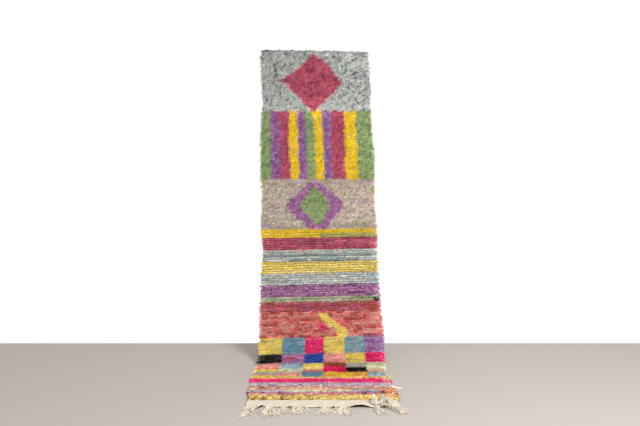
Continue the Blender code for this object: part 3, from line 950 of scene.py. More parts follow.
# Each panel's knots: pitch of its rows, knots across, length and width of the ends, how wide
# they spread, how far they turn and tilt in radians, how they swirl, how ragged they are at the
# rug's sides, how their length and tone vary, also by the row, and the painted shade at their roots.
shaggy = {
    "pitch": 0.0128, "across": 86, "length": 0.030, "width": 0.0062, "spread": 1.0, "turn": 0.55,
    "tilt": 0.26, "swirl": 1.1, "fuzz": 0.45, "waver": 0.0, "ragged": 0.14, "abrash": 0.14,
    "uneven": 0.31, "root": 0.40,
}
striped = {**shaggy, "swirl": 0.5}
fine = {
    **shaggy, "across": 104, "width": 0.0052, "spread": 0.7, "turn": 0.28, "tilt": 0.12, "swirl": 0.25,
    "length": 0.027, "uneven": 0.28,
}
combed = {
    "pitch": 0.0170, "across": 112, "length": 0.025, "width": 0.0052, "spread": 0.34, "turn": 0.20,
    "tilt": 0.08, "swirl": 0.15, "fuzz": 0.55, "waver": 0.0030, "ragged": 0.07, "abrash": 0.35,
    "uneven": 0.38, "root": 0.18,
}
checked = {**combed, "spread": 0.55, "waver": 0.0040, "abrash": 0.14, "uneven": 0.28, "root": 0.30}
floorRows = {
    **combed, "spread": 0.6, "turn": 0.45, "tilt": 0.20, "swirl": 0.5, "waver": 0.0070, "ragged": 0.14,
    "uneven": 0.45, "root": 0.16,
}
tufted = {
    **shaggy, "pitch": 0.0135, "across": 78, "length": 0.027, "spread": 1.3, "turn": 1.0, "tilt": 0.40,
    "swirl": 1.6, "uneven": 0.45, "root": 0.20,
}

# Pieces of the pile: name, first row, last row and how it is knotted.
pilePanels = [
    ("pile_grey_panel", 0.000, 0.476, shaggy),
    ("pile_stripes", 0.476, 0.986, striped),
    ("pile_oatmeal_panel", 0.986, 1.352, fine),
    ("pile_bands", 1.352, 1.943, combed),
    ("pile_coral_and_checks", 1.943, 2.537, checked),
    ("pile_floor_bands", 2.537, 3.002, floorRows),
    ("pile_end_rows", 3.002, 3.070, tufted),
]

# How the ends of a knot lie, in three kinds of knot. Each end has its place across and down
# the rug, its lean across and down in radians, and its share of the length and of the tone.
knotKinds = [
    [
        (-0.0036, -0.0020, -0.30, 0.10, 1.00, 1.14), (0.0030, -0.0024, 0.22, -0.12, 0.90, 0.76),
        (-0.0020, 0.0030, -0.10, 0.30, 0.84, 0.98), (0.0036, 0.0026, 0.34, 0.16, 1.06, 1.08),
    ],
    [
        (-0.0034, 0.0010, -0.42, 0.02, 0.88, 0.84), (0.0004, -0.0030, 0.04, -0.20, 1.08, 1.16),
        (0.0004, 0.0030, -0.06, 0.40, 0.96, 1.00), (0.0038, 0.0000, 0.44, 0.06, 0.86, 0.88),
    ],
    [
        (-0.0030, -0.0014, -0.16, -0.16, 1.10, 1.02), (0.0034, -0.0004, 0.18, 0.22, 1.00, 1.18),
        (0.0000, 0.0030, 0.02, 0.10, 0.82, 0.72),
    ],
]

# One end of yarn, made from a cone, and where the cone's own map has its sides and its cap.
yarnEnd = {
    "sides": 3,
    "segments": 2,
    "bow": 0.42,             # power of the height that bends it over early
    "rootWidth": 0.62,
    "fullness": 2.76,        # how much wider it gets on the way up
    "droop": 0.22,
    "mapSides": (0.137, 2.37),
    "mapCap": (0.638, 0.48, 0.83),
    "mapUp": (0.055, 2.56),
    "mapRim": 0.06,
}


def oneEnd(bench, given):
    # one end of yarn: three-sided, fullest past its middle, bent over towards +Y
    cone = bench.add(
        "GeometryNodeMeshCone",
        {"fill_type": "NGON"},
        {
            "Vertices": yarnEnd["sides"], "Side Segments": yarnEnd["segments"],
            "Radius Top": 0.0, "Radius Bottom": 0.5, "Depth": 1.0,
        },
    )
    at = bench.split(bench.add("GeometryNodeInputPosition"))
    share = at.of("Z") ** yarnEnd["bow"]
    full = (yarnEnd["rootWidth"] + yarnEnd["fullness"] * at.of("Z")) * given.of("Yarn Width")
    fall = share * share * given.of("Nap") * given.of("Leg Length")
    height = (share - yarnEnd["droop"] * share * share) * given.of("Leg Length")
    bent = bench.joined(at.of("X") * full, at.of("Y") * full + fall, height)
    end = bench.storedMap(bench.stored(cone, "along", share), "legMap", endMap(bench, cone))
    return bench.add("GeometryNodeSetPosition", None, {"Geometry": end, "Position": bent})


def endMap(bench, cone):
    # the end's own map: its sides at the left, its cap at the right
    flat = bench.split(cone.of("UV Map"))
    isCap = flat.of("X") > 0.5
    sideFrom, sideScale = yarnEnd["mapSides"]
    capFrom, capScale, capPlace = yarnEnd["mapCap"]
    upFrom, upScale = yarnEnd["mapUp"]
    sides = (flat.of("X") - sideFrom) * sideScale
    cap = capPlace + (flat.of("X") - capFrom) * capScale
    u = sides * (1 - isCap) + cap * isCap
    v = (flat.of("Y") - upFrom) * upScale
    rim = yarnEnd["mapRim"]
    return bench.joined(rim + (1 - 2 * rim) * u, rim + (1 - 2 * rim) * v, 0)


def oneKnot(bench, end, ends, spread):
    # a knot's ends together, each with its own quarter of the knot's cell in the map
    knot = bench.add("GeometryNodeJoinGeometry")
    for index, (aside, ahead, leanAside, leanDown, length, tone) in enumerate(ends):
        quarter = bench.joined(index % 2, index // 2, 0)
        one = bench.stored(bench.stored(end, "corner", quarter, "FLOAT_VECTOR"), "tone", tone)
        lean = bench.joined(spread * -leanDown, spread * leanAside, 0)
        placed = bench.add(
            "GeometryNodeTransform",
            None,
            {
                "Geometry": one, "Translation": bench.joined(aside, spread * ahead, 0),
                "Rotation": bench.add("FunctionNodeEulerToRotation", None, {0: lean}),
                "Scale": (1, 1, length),
            },
        )
        bench.tree.links.new(placed.output, knot.node.inputs[0])
    return bench.add("GeometryNodeGeometryToInstance", None, {0: knot})


def knotWay(bench, given):
    # which way a knot stands, from its point, with a loose tilt and turn
    facing = bench.add(
        "FunctionNodeAxesToRotation",
        {"primary_axis": "Z", "secondary_axis": "Y"},
        {0: bench.named("out"), 1: bench.named("nap")},
    )
    tilt, turn = given.of("Loose Tilt"), given.of("Loose Turn")
    loose = bench.add(
        "FunctionNodeRandomValue",
        {"data_type": "FLOAT_VECTOR"},
        {
            "Min": bench.joined(tilt * -1, tilt * -1, turn * -1),
            "Max": bench.joined(tilt, tilt, turn), "Seed": given.of("Seed"),
        },
    )
    return bench.add(
        "FunctionNodeRotateRotation",
        {"rotation_space": "LOCAL"},
        {0: facing, 1: bench.add("FunctionNodeEulerToRotation", None, {0: loose})},
    )


def withinRoom(bench, given, shape):
    # tips press against the floor and the wall instead of passing them
    at = bench.split(bench.add("GeometryNodeInputPosition"))
    kept = bench.joined(
        at.of("X"),
        at.sum("MINIMUM", at.of("Y"), given.of("Wall")),
        at.sum("MAXIMUM", at.of("Z"), given.of("Floor")),
    )
    return bench.add("GeometryNodeSetPosition", None, {"Geometry": shape, "Position": kept})


def knotTree():
    # a knot on every point, of a random kind, with the point's colour, size and way
    inputs = {
        "Float": (
            "Leg Length", "Yarn Width", "Nap", "Loose Turn", "Loose Tilt", "Spread", "Painted Root Light",
            "Cells", "Floor", "Wall",
        ),
        "Int": ("Seed",),
        "Material": ("Wool",),
    }
    tree, bench = geometryTree("knots", inputs)
    given = bench.add("NodeGroupInput")
    end = oneEnd(bench, given)
    kinds = bench.add("GeometryNodeJoinGeometry")
    for ends in knotKinds:
        knot = oneKnot(bench, end, ends, given.of("Spread"))
        tree.links.new(knot.output, kinds.node.inputs[0])
    kind = bench.add(
        "FunctionNodeRandomValue",
        {"data_type": "INT"},
        {4: 0, 5: len(knotKinds) - 1, "Seed": given.of("Seed") + 1},
        output=2,
    )
    placed = bench.add(
        "GeometryNodeInstanceOnPoints",
        None,
        {
            "Points": given.of("Geometry"), "Instance": kinds, "Pick Instance": True,
            "Instance Index": kind, "Rotation": knotWay(bench, given), "Scale": bench.named("size"),
        },
    )
    real = bench.add("GeometryNodeRealizeInstances", None, {0: placed})
    real = withinRoom(bench, given, real)
    legMap, cell = bench.named("legMap"), bench.named("cell")
    quarter = bench.scaled(bench.vector("ADD", legMap, bench.named("corner")), 0.5)
    ownCell = bench.scaled(bench.vector("ADD", quarter, cell), 1 / given.of("Cells"))
    real = bench.storedMap(real, "OFBake", ownCell)
    real = bench.storedMap(real, "endMap", bench.vector("ADD", legMap, cell))
    # the painted shade at the roots of the ends
    real = bench.stored(real, "root", given.of("Painted Root Light"))
    for name in ("out", "nap", "size", "cell", "legMap", "corner"):
        real = bench.add("GeometryNodeRemoveAttribute", None, {"Geometry": real, "Name": name})
    real = bench.add("GeometryNodeSetShadeSmooth", None, {"Geometry": real})
    material = {"Geometry": real, "Material": given.of("Wool")}
    done = bench.add("GeometryNodeSetMaterial", None, material)
    bench.add("NodeGroupOutput", None, {0: done})
    return tree


def reachAt(across):
    # the cloth's right side lies a little further out than its outline says
    return pile["rightReach"] * blend(across, pile["rightFrom"], 1)


def layOf(row, across, u, down, out, swirl, loose):
    # which way a knot's ends stand and fall: in swirls and clumps, and over the rug's edges
    turn = swirl * waver(u, row, pile["swirls"])
    turn += pile["clumpShare"] * swirl * waver(u, row, pile["clumps"])
    first, last, less = pile["floorLean"]
    side = pile["rightLean"] if across > 0 else -pile["leftLean"]
    side = side * (1 - less * blend(row, first, last)) + loose
    side = blend(abs(across), pile["leanFrom"], 1) * side
    top = 1 - blend(row, 0, pile["topRow"])
    turn += side
    nap = down * math.cos(turn) + Vector((1, 0, 0)) * math.sin(turn)
    fall = pile["floorFall"] * blend(row, *pile["floorRows"]) - pile["topLean"] * top
    stand = (out + Vector((side, 0, 0)) + down * fall).normalized()
    return nap, stand


def knotPlaces(first, last, kind, chance):
    # every knot between two rows: place, way out, nap, size and colour
    rows = round((last - first) / kind["pitch"])
    found = {"place": [], "out": [], "nap": [], "size": [], "yarn": []}
    for index in range(rows):
        row = first + (index + 0.5) * (last - first) / rows
        flat = blend(row, *pile["floorRows"])
        for knot in range(kind["across"]):
            across = (2 * (knot + 0.5) / kind["across"] - 1) * pile["span"]
            across += chance.uniform(-1, 1) * pile["looseAcross"]
            length = rowLength(row, across) + chance.uniform(-1, 1) * pile["looseAlong"]
            length += kind["waver"] * waver(across, row, pile["wavers"])
            u = across * readTable(outline, length)[1]
            point, out = rugPoint(length, across)
            point.x += reachAt(across)
            down = out.cross(Vector((1, 0, 0))) * -1
            loose = kind["fuzz"] * chance.uniform(-1, 1)
            nap, stand = layOf(row, across, u, down, out, kind["swirl"], loose)
            height = pileDepth(length, across) - rug["rimDepth"]
            lump = pile["lumpRise"] * height / (rug["pileDepth"] - rug["rimDepth"])
            rise = pile["lowRise"] + lump
            rise += chance.uniform(-1, 1) * kind["ragged"]
            rise *= 1 + kind["ragged"] * waver(u, row, pile["raggedRows"])
            rise *= 1 - (1 - pile["floorRise"]) * flat
            yarn = yarnAt(u, row + pile["lead"], chance)
            size = (chance.uniform(*pile["widths"]), chance.uniform(*pile["depths"]), rise)
            found["place"].append(point + out * pile["rootHeight"])
            found["out"].append(stand)
            found["nap"].append(nap)
            found["size"].append(size)
            found["yarn"].append((*toneAt(yarn, u, row, kind["abrash"], kind["uneven"], chance), 1))
    return found


def makePile(name, first, last, kind, tree, chance):
    # one piece of the pile: a point for each knot, which the tree turns into yarn
    places = knotPlaces(first, last, kind, chance)
    count = len(places["place"])
    mesh = bpy.data.meshes.new(name)
    mesh.from_pydata([tuple(point) for point in places["place"]], [], [])
    for label in ("out", "nap", "size"):
        addLayer(mesh, label, "FLOAT_VECTOR", "vector", places[label])
    addLayer(mesh, "yarn", "FLOAT_COLOR", "color", places["yarn"])
    cells = math.ceil(math.sqrt(count))
    cell = [(index % cells, index // cells, 0) for index in range(count)]
    addLayer(mesh, "cell", "FLOAT_VECTOR", "vector", cell)
    sizes = {
        "Leg Length": kind["length"], "Yarn Width": kind["width"], "Nap": pile["nap"],
        "Loose Turn": kind["turn"], "Loose Tilt": kind["tilt"], "Spread": kind["spread"],
        "Painted Root Light": kind["root"], "Cells": float(cells), "Floor": pile["floorGap"],
        "Wall": rug["wallY"], "Seed": pile["seed"], "Wool": woolMaterial,
    }
    piece = runTree(newPiece(name, mesh), tree, sizes)
    print(name, count, "knots", triangles(piece), "triangles")
    return piece


chance = random.Random(5)
knots = knotTree()
pilePieces = [makePile(*panel, knots, chance) for panel in pilePanels]


# Ground: the woven cloth that holds the knots, whose back shows their colours.
ground = {"rows": 240, "columns": 86, "thickness": 0.0025, "span": 0.996}


def clothSheet(name, rows, columns, pointAt, thickness):
    # a closed thin sheet whose corners come from pointAt(row share, across)
    shape = bmesh.new()
    bmesh.ops.create_grid(shape, x_segments=columns, y_segments=rows, size=1)
    for vert in shape.verts:
        vert.co = pointAt((1 - vert.co.y) / 2, vert.co.x)
    mesh = bpy.data.meshes.new(name)
    shape.to_mesh(mesh)
    shape.free()
    piece = newPiece(name, mesh)
    solid = piece.modifiers.new("thickness", "SOLIDIFY")
    solid.thickness = thickness
    solid.offset = 1
    return piece


def makeGround(chance):
    # the knots' own cloth; each of its faces has the colour of the knot there
    def pointAt(share, across):
        length = rowLength(share * rug["pileLength"], across)
        point = rugPoint(min(length, rug["pileLength"]), across * ground["span"])[0]
        return point + Vector((reachAt(across), 0, 0))

    piece = clothSheet("ground_weave", ground["rows"], ground["columns"], pointAt, ground["thickness"])
    mesh = piece.data
    yarn = mesh.attributes.new("yarn", "FLOAT_COLOR", "CORNER")
    weave = mesh.uv_layers.new(name="weave")
    bake = mesh.uv_layers.new(name="OFBake")
    colours, cells, bakes = [], [], []
    rows, columns = ground["rows"], ground["columns"]
    for face in mesh.polygons:
        line, column = divmod(face.index, columns)
        row = rug["pileLength"] * (1 - (line + 0.5) / rows)
        across = 2 * (column + 0.5) / columns - 1
        u = across * readTable(outline, row)[1]
        tone = toneAt(yarnAt(u, row, chance), u, row, dyeAndPaintedShade["backAbrash"], dyeAndPaintedShade["backUneven"], chance)
        for corner in face.loop_indices:
            gridRow, gridColumn = divmod(mesh.loops[corner].vertex_index, columns + 1)
            colours.append((*tone, 1))
            cells.append((gridColumn, gridRow))
            bakes.append((gridColumn / columns, gridRow / rows))
    yarn.data.foreach_set("color", np.array(colours, np.float32).ravel())
    weave.data.foreach_set("uv", np.array(cells, np.float32).ravel())
    bake.data.foreach_set("uv", np.array(bakes, np.float32).ravel())
    mesh.materials.append(groundMaterial)
    applyModifiers(piece)
    print(piece.name, triangles(piece), "triangles")
    return piece


groundPiece = makeGround(random.Random(9))


# Yarn along a path, for the selvedges, the fringe and stray ends. Its step is in metres and its
# twist in radians a metre.
def yarnTree():
    # each path of edges becomes a plied yarn, as thick as its points say
    inputs = {
        "Float": ("Step", "Twist", "Flatness", "Lumps"),
        "Int": ("Sides",),
        "Material": ("Yarn",),
    }
    tree, bench = geometryTree("pliedYarn", inputs)
    given = bench.add("NodeGroupInput")
    path = bench.add("GeometryNodeMeshToCurve", None, {0: given.of("Geometry")})
    spaced = {"Curve": path, "Length": given.of("Step")}
    path = bench.add("GeometryNodeResampleCurve", {"mode": "LENGTH"}, spaced)
    place = bench.add("GeometryNodeSplineParameter")
    turn = place.of("Length") * given.of("Twist")
    wrap = 1 - given.of("Lumps") * place.sum("FLOORED_MODULO", place.of("Index"), 2.0)
    thick = bench.named("thick", "FLOAT") * wrap
    path = bench.add("GeometryNodeSetCurveRadius", None, {"Curve": path, "Radius": thick})
    path = bench.add("GeometryNodeSetCurveTilt", None, {"Curve": path, "Tilt": turn})
    circle = {"Resolution": given.of("Sides"), "Radius": 1.0}
    ring = bench.add("GeometryNodeCurvePrimitiveCircle", None, circle)
    flattened = {"Geometry": ring, "Scale": bench.joined(1, given.of("Flatness"), 1)}
    ring = bench.add("GeometryNodeTransform", None, flattened)
    swept = {"Curve": path, "Profile Curve": ring, "Scale": thick, "Fill Caps": True}
    tube = bench.add("GeometryNodeCurveToMesh", None, swept)
    smooth = bench.add("GeometryNodeSetShadeSmooth", None, {"Geometry": tube})
    real = bench.add("GeometryNodeRealizeInstances", None, {0: smooth})
    done = bench.add("GeometryNodeSetMaterial", None, {"Geometry": real, "Material": given.of("Yarn")})
    bench.add("NodeGroupOutput", None, {0: done})
    return tree


pliedYarn = yarnTree()


def yarnPiece(name, paths, material, ply):
    # paths are lists of (point, radius); ply has the tree's sizes
    points, edges, thick = [], [], []
    for path in paths:
        start = len(points)
        points += [tuple(point) for point, radius in path]
        thick += [radius for point, radius in path]
        edges += [(start + index, start + index + 1) for index in range(len(path) - 1)]
    mesh = bpy.data.meshes.new(name)
    mesh.from_pydata(points, edges, [])
    addLayer(mesh, "thick", "FLOAT", "value", thick)
    sizes = {"Sides": 6, "Lumps": 0.0, "Yarn": material, **ply}
    piece = runTree(newPiece(name, mesh), pliedYarn, sizes)
    print(name, triangles(piece), "triangles")
    return piece


# Selvedges: the side warps, wrapped over and over with undyed wool.
selvedge = {
    "radius": 0.0034,
    "steps": 240,
    "uneven": 0.12,
    "unevenRows": (3, 14, 2.0),
    "pressed": 0.45,         # how much thinner they lie on the floor
    "pressedRows": (2.35, 2.60),
    "inset": 0.010,          # where the pile covers them
    "bareInset": 0.000,
    # rows between which the left and the right one come out of the pile and go back under it
    "bare": {-1: (2.08, 2.20, 2.46, 2.58), 1: (2.34, 2.44, 2.60, 2.70)},
    "bareRows": (1, 9, 4.0),
    "bareLeast": 0.75,
    "bareMore": 0.5,
    "sunk": (0.2, 0.8),      # height in radii where the pile covers them, and what bareness adds
    "gap": 0.0002,
    "ply": {"Step": 0.0046, "Twist": 0.0, "Flatness": 0.9, "Lumps": 0.25},
}


def selvedgePath(side):
    path = []
    first, full, fade, last = selvedge["bare"][side]
    low, rise = selvedge["sunk"]
    for index in range(selvedge["steps"] + 1):
        row = rug["pileLength"] * index / selvedge["steps"]
        length = min(rowLength(row, side), rug["pileLength"])
        point, out = rugPoint(length, side)
        uneven = 1 + selvedge["uneven"] * waver(side, row, selvedge["unevenRows"])
        radius = selvedge["radius"] * uneven
        radius *= 1 - selvedge["pressed"] * blend(row, *selvedge["pressedRows"])
        bare = blend(row, first, full) * (1 - blend(row, fade, last))
        bare *= selvedge["bareLeast"] + selvedge["bareMore"] * waver(side, row, selvedge["bareRows"])
        inset = selvedge["inset"] + (selvedge["bareInset"] - selvedge["inset"]) * bare
        inward = Vector((reachAt(side) - side * inset, 0, 0))
        place = point + out * (radius * (low + rise * bare) + selvedge["gap"]) + inward
        path.append((Vector((place.x, place.y, max(place.z, radius))), radius))
    return path


selvedgePieces = [
    yarnPiece(name, [selvedgePath(side)], selvedgeMaterial, selvedge["ply"])
    for name, side in (("selvedge_left", -1), ("selvedge_right", 1))
]


# Ends of undyed yarn that came loose at the sides: side, row, turn down the rug in degrees,
# reach.
strayEnds = [
    (1, 2.195, 30, 0.012), (1, 2.44, 10, 0.014), (1, 2.52, -10, 0.016), (1, 2.57, 20, 0.018),
    (1, 2.61, 0, 0.032), (1, 2.625, 16, 0.028), (1, 2.845, -2, 0.054), (1, 2.850, 2, 0.062),
    (1, 2.855, 6, 0.064), (1, 2.860, 10, 0.056), (1, 2.865, 14, 0.046), (1, 2.975, 20, 0.016),
    (-1, 2.34, 20, 0.012), (-1, 2.66, 10, 0.012),
]


strayLook = {
    "root": 0.985,           # share of half the width at which they leave the rug
    "height": 0.012,         # over the rug's back
    "steps": 8,
    "sag": 0.02,
    "sway": 0.004,
    "swayTurn": 5,           # radians over an end
    "floorHeight": 0.0026,
    "radius": 0.0025,
    "thinning": 0.0006,
    "ply": {"Step": 0.003, "Twist": 600.0, "Flatness": 0.8},
}


def thinRadius(share):
    # of a loose end, thinner towards its tip
    return strayLook["radius"] - strayLook["thinning"] * share


def strayPath(side, row, turn, reach):
    # out over the rug's side, and down until it hangs or lies on the floor
    across = side * strayLook["root"]
    point, out = rugPoint(rowLength(row, across), across)
    down = out.cross(Vector((1, 0, 0))) * -1
    aim = math.radians(turn)
    ahead = Vector((side, 0, 0)) * math.cos(aim) + down * math.sin(aim)
    start = point + out * strayLook["height"]
    path = []
    for index in range(strayLook["steps"] + 1):
        share = index / strayLook["steps"]
        place = start + ahead * reach * share + Vector((0, 0, -strayLook["sag"] * share * share))
        place += down * strayLook["sway"] * math.sin(share * strayLook["swayTurn"] + turn)
        height = max(place.z, strayLook["floorHeight"])
        path.append((Vector((place.x, place.y, height)), thinRadius(share)))
    return path


strayPaths = [strayPath(*end) for end in strayEnds]
strayPiece = yarnPiece("stray_ends", strayPaths, fringeMaterial, strayLook["ply"])


# Skirt: the plain flat-woven end, with soft ribs, lifted along its front edge.
skirt = {
    "rows": 26,
    "columns": 260,
    "thickness": 0.0028,
    "wander": 0.004,         # of its front edge
    "wanders": (14, 0, 5.2),
    "liftFrom": 0.25,        # share of its length from which it leaves the floor
    "ribHeight": 0.0015,
    "ribPitch": 0.0095,
    "ribShift": 3,           # radians by which the ribs stray
    "ribShifts": (9, 9, 3.6),
    "puff": 0.0050,
    "puffs": (18, 18, 1.4),
    "finePuffs": (55, 55, 3.3),
    "finePuff": 0.4,
    "puffFull": 0.2,         # share of its length by which the puffs are full
}

# Where the skirt's front edge stands off the floor: middle in X, half width and height.
lifts = [
    (-0.295, 0.045, 0.010), (-0.145, 0.035, 0.006), (0.075, 0.040, 0.005), (0.205, 0.085, 0.010),
    (0.350, 0.055, 0.016),
]


def liftAt(x):
    height = sum(top * (1 - blend(abs(x - middle), 0, half)) for middle, half, top in lifts)
    return max(height, 0)


def skirtPoint(share, x):
    y = drape(skirtStart + share * rug["skirtLength"])[0]
    wander = skirt["wander"] * waver(x, 0, skirt["wanders"]) * share
    return Vector((x, y + wander, liftAt(x) * blend(share, skirt["liftFrom"], 1)))


def skirtRise(point, share):
    # height of the ribs and of the soft puffs over the skirt's flat form
    shift = skirt["ribShift"] * waver(point.x, point.y, skirt["ribShifts"])
    rib = 0.5 + 0.5 * math.cos(2 * math.pi * point.x / skirt["ribPitch"] + shift)
    puff = 0.5 + waver(point.x, point.y, skirt["puffs"])
    puff += skirt["finePuff"] * waver(point.x, point.y, skirt["finePuffs"])
    fade = blend(share, 0, skirt["puffFull"])
    return skirt["ribHeight"] * rib + max(puff, 0) * skirt["puff"] * fade


def makeSkirt():
    # a thin sheet over the skirt's form
    def pointAt(share, across):
        middle, half = readTable(outline, skirtStart + share * rug["skirtLength"])
        point = skirtPoint(share, middle + half * across)
        return point + Vector((0, 0, skirtRise(point, share)))

    piece = clothSheet("woven_skirt", skirt["rows"], skirt["columns"], pointAt, skirt["thickness"])
    piece.data.materials.append(skirtMaterial)
    applyModifiers(piece)
    piece.data.shade_smooth()
    print(piece.name, triangles(piece), "triangles")
    return piece


skirtPiece = makeSkirt()


# Fringe: bunches of warp ends, each tied in a knot, and looser ends between them.
fringe = {
    "yarnRadius": 0.0027,
    "radii": (0.85, 1.15),   # of the single ends, as a share of it
    "stepLength": 0.004,
    "leastSteps": 4,
    "thinning": 0.25,
    "sway": 15,              # degrees to either side, and radians over an end
    "swayTurn": 7,
    "swayStarts": (0, 6.28),
    "heap": 0.011,           # how high the ends lie over each other
    "behind": 0.002,         # how far they start behind the front edge
    "strandPly": {"Step": 0.0035, "Twist": 700.0, "Flatness": 0.72},
    "knotPly": {"Step": 0.003, "Twist": 350.0, "Flatness": 0.85},
}

# A bunch: five warps in its neck, turns of yarn around them, and the ends that fan out.
bunchLook = {
    "neckLength": 0.008,
    "neckGap": 0.0022,       # between two warps
    "neckRadius": 0.0022,
    "fullRadius": 0.0024,
    "rootSpread": 2.2,       # how many of those gaps lie between them at the edge
    "knotSpread": 0.5,       # and at the knot
    "arch": 0.0015,
    "lowHeight": 0.34,       # where they enter the knot, in knot sizes, and its share of the lift
    "lowLift": 0.35,
    "neckTurn": 0.5,         # share of the bunch's turn that its neck and its knot take
    "knotTurn": 0.7,
    "knotSize": 0.015,
    "knotHeight": 0.49,      # its middle, in knot sizes, and its share of the lift
    "knotLift": 0.3,
    "endAhead": 0.35,        # where the ends begin, in knot sizes
    "endAside": 0.8,
    "endHeight": 0.3,
    "endLift": 0.2,
    "lengths": (0.55, 1.06),
    "curl": 20,              # degrees, of the bunch and of each end
    "endCurl": 26,
    "falls": (0.35, 1.0),    # share of an end by which it is down on the floor
}

# The turns of yarn around a bunch, in knot sizes.
knotLook = {
    "steps": 30,
    "turns": 2.5,
    "width": 0.40,
    "bulge": 0.25,           # how much narrower it is at its two ends
    "flatness": 0.8,
    "length": 0.62,
    "radius": 0.155,
}

# Bunches: root in X, turn towards +X and spread in degrees, ends, reach.
bunches = [
    (-0.366, 13, 32, 14, 0.140), (-0.262, 6, 62, 26, 0.134), (-0.190, 8, 30, 9, 0.080),
    (-0.100, 4, 64, 18, 0.092), (0.024, 0, 40, 14, 0.096), (0.116, -4, 70, 24, 0.102),
    (0.276, 18, 30, 9, 0.100), (0.352, 46, 56, 20, 0.100),
]

# Stretches of the edge with looser ends: from and to in X, ends, turn in degrees, reach.
looseEnds = [
    (-0.385, -0.320, 10, -8, 0.050), (-0.350, -0.335, 2, -4, 0.150), (-0.300, -0.275, 4, -38, 0.120),
    (-0.250, -0.210, 7, 4, 0.056), (-0.200, -0.160, 7, 6, 0.070), (-0.140, -0.112, 5, -2, 0.070),
    (-0.090, -0.060, 5, 10, 0.070), (0.004, 0.046, 7, 2, 0.080), (0.062, 0.150, 9, 4, 0.060),
    (0.320, 0.372, 8, 40, 0.056),
]

looseLook = {
    "places": (0.1, 0.9),    # within its own part of the stretch
    "lengths": (0.6, 1.05),
    "height": 0.0012,
    "heap": 0.6,             # share of the bunches' heap
    "turn": 16,
    "curl": 30,
    "falls": (0.3, 0.9),
}

# Bunches thrown back over the skirt: root in X, half width, ends, how tall, how far back.
thrownBack = [(0.276, 0.018, 22, 0.030, 0.078), (0.322, 0.015, 16, 0.022, 0.070)]
thrownLook = {
    "heights": (0.75, 1.08),
    "lengths": (0.8, 1.1),
    "begins": (0.006, 0.032),  # behind the skirt's edge
    "steps": 10,
    "gather": 1.15,          # how much they close in, past each other a little
    "sway": 0.002,
    "swayTurn": 6,
    "arch": 0.85,            # share of half a wave that their height makes
    "reach": 0.034,          # added to how far back they fall
}

# Short ends that cross each other over the skirt's rucked corner.
tangle = {
    "from": 0.280,
    "to": 0.352,
    "ends": 44,
    "back": (0.004, 0.055),  # behind the skirt's edge
    "turn": 70,
    "curl": 60,
    "reach": 0.046,
    "lengths": (0.6, 1),
    "tall": 0.015,
    "heights": (0.3, 1),
    "steps": 10,
    "liftFade": -0.08,       # distance over which they come down to the skirt again
    "gap": 0.002,
    "radius": 0.0023,
}


def either(chance, most):
    # up to so much to either side
    return chance.uniform(-most, most)


def heading(turn):
    # level, from straight out of the rug, turned in degrees towards +X
    return Vector((math.sin(math.radians(turn)), -math.cos(math.radians(turn)), 0))


def frontEdge(x):
    # where the warps come out, past the skirt and the narrow strip at its edge
    return skirtPoint(1, x) + Vector((0, -rug["gap"] - rug["stripLength"], 0))


def strandPath(start, turn, length, curl, lift, fall, chance):
    # a thin yarn that comes down from its root and then lies on the floor in a soft wave
    radius = fringe["yarnRadius"] * chance.uniform(*fringe["radii"])
    steps = max(round(length / fringe["stepLength"]), fringe["leastSteps"])
    point = Vector((start.x, start.y, 0))
    wave = chance.uniform(*fringe["swayStarts"])
    path = []
    for index in range(steps + 1):
        share = index / steps
        height = radius + lift * (1 - blend(share, 0, fall))
        thin = 1 - fringe["thinning"] * share ** 3
        path.append((point + Vector((0, 0, height)), radius * thin))
        sway = fringe["sway"] * math.sin(wave + share * fringe["swayTurn"])
        point = point + heading(turn + curl * share + sway) * (length / steps)
    return path


def knotPath(centre, turn, size, lift):
    # turns of yarn around the bunch
    forward, up = heading(turn), Vector((0, 0, 1))
    side = forward.cross(up)
    path = []
    for index in range(knotLook["steps"] + 1):
        share = index / knotLook["steps"]
        angle = 2 * math.pi * knotLook["turns"] * share
        across = knotLook["width"] * size * (1 - knotLook["bulge"] * (2 * share - 1) ** 2)
        offset = side * math.cos(angle) * across
        offset += up * math.sin(angle) * across * knotLook["flatness"]
        along = forward * (share - 0.5) * size * knotLook["length"]
        path.append((centre + offset + along + up * lift, size * knotLook["radius"]))
    return path


def neckPaths(edge, centre, lift):
    # the warps from the skirt's edge to the knot
    size, radius = bunchLook["knotSize"], bunchLook["neckRadius"]
    necks = []
    for place in (-2, -1, 0, 1, 2):
        aside = place * bunchLook["neckGap"]
        root = edge.x + aside * bunchLook["rootSpread"]
        top = Vector((root, edge.y + fringe["behind"], lift + radius))
        height = size * bunchLook["lowHeight"] + lift * bunchLook["lowLift"]
        low = Vector((centre.x + aside * bunchLook["knotSpread"], centre.y, height))
        middle = top.lerp(low, 0.5) + Vector((0, 0, bunchLook["arch"]))
        necks.append([(top, radius), (middle, bunchLook["fullRadius"]), (low, radius)])
    return necks


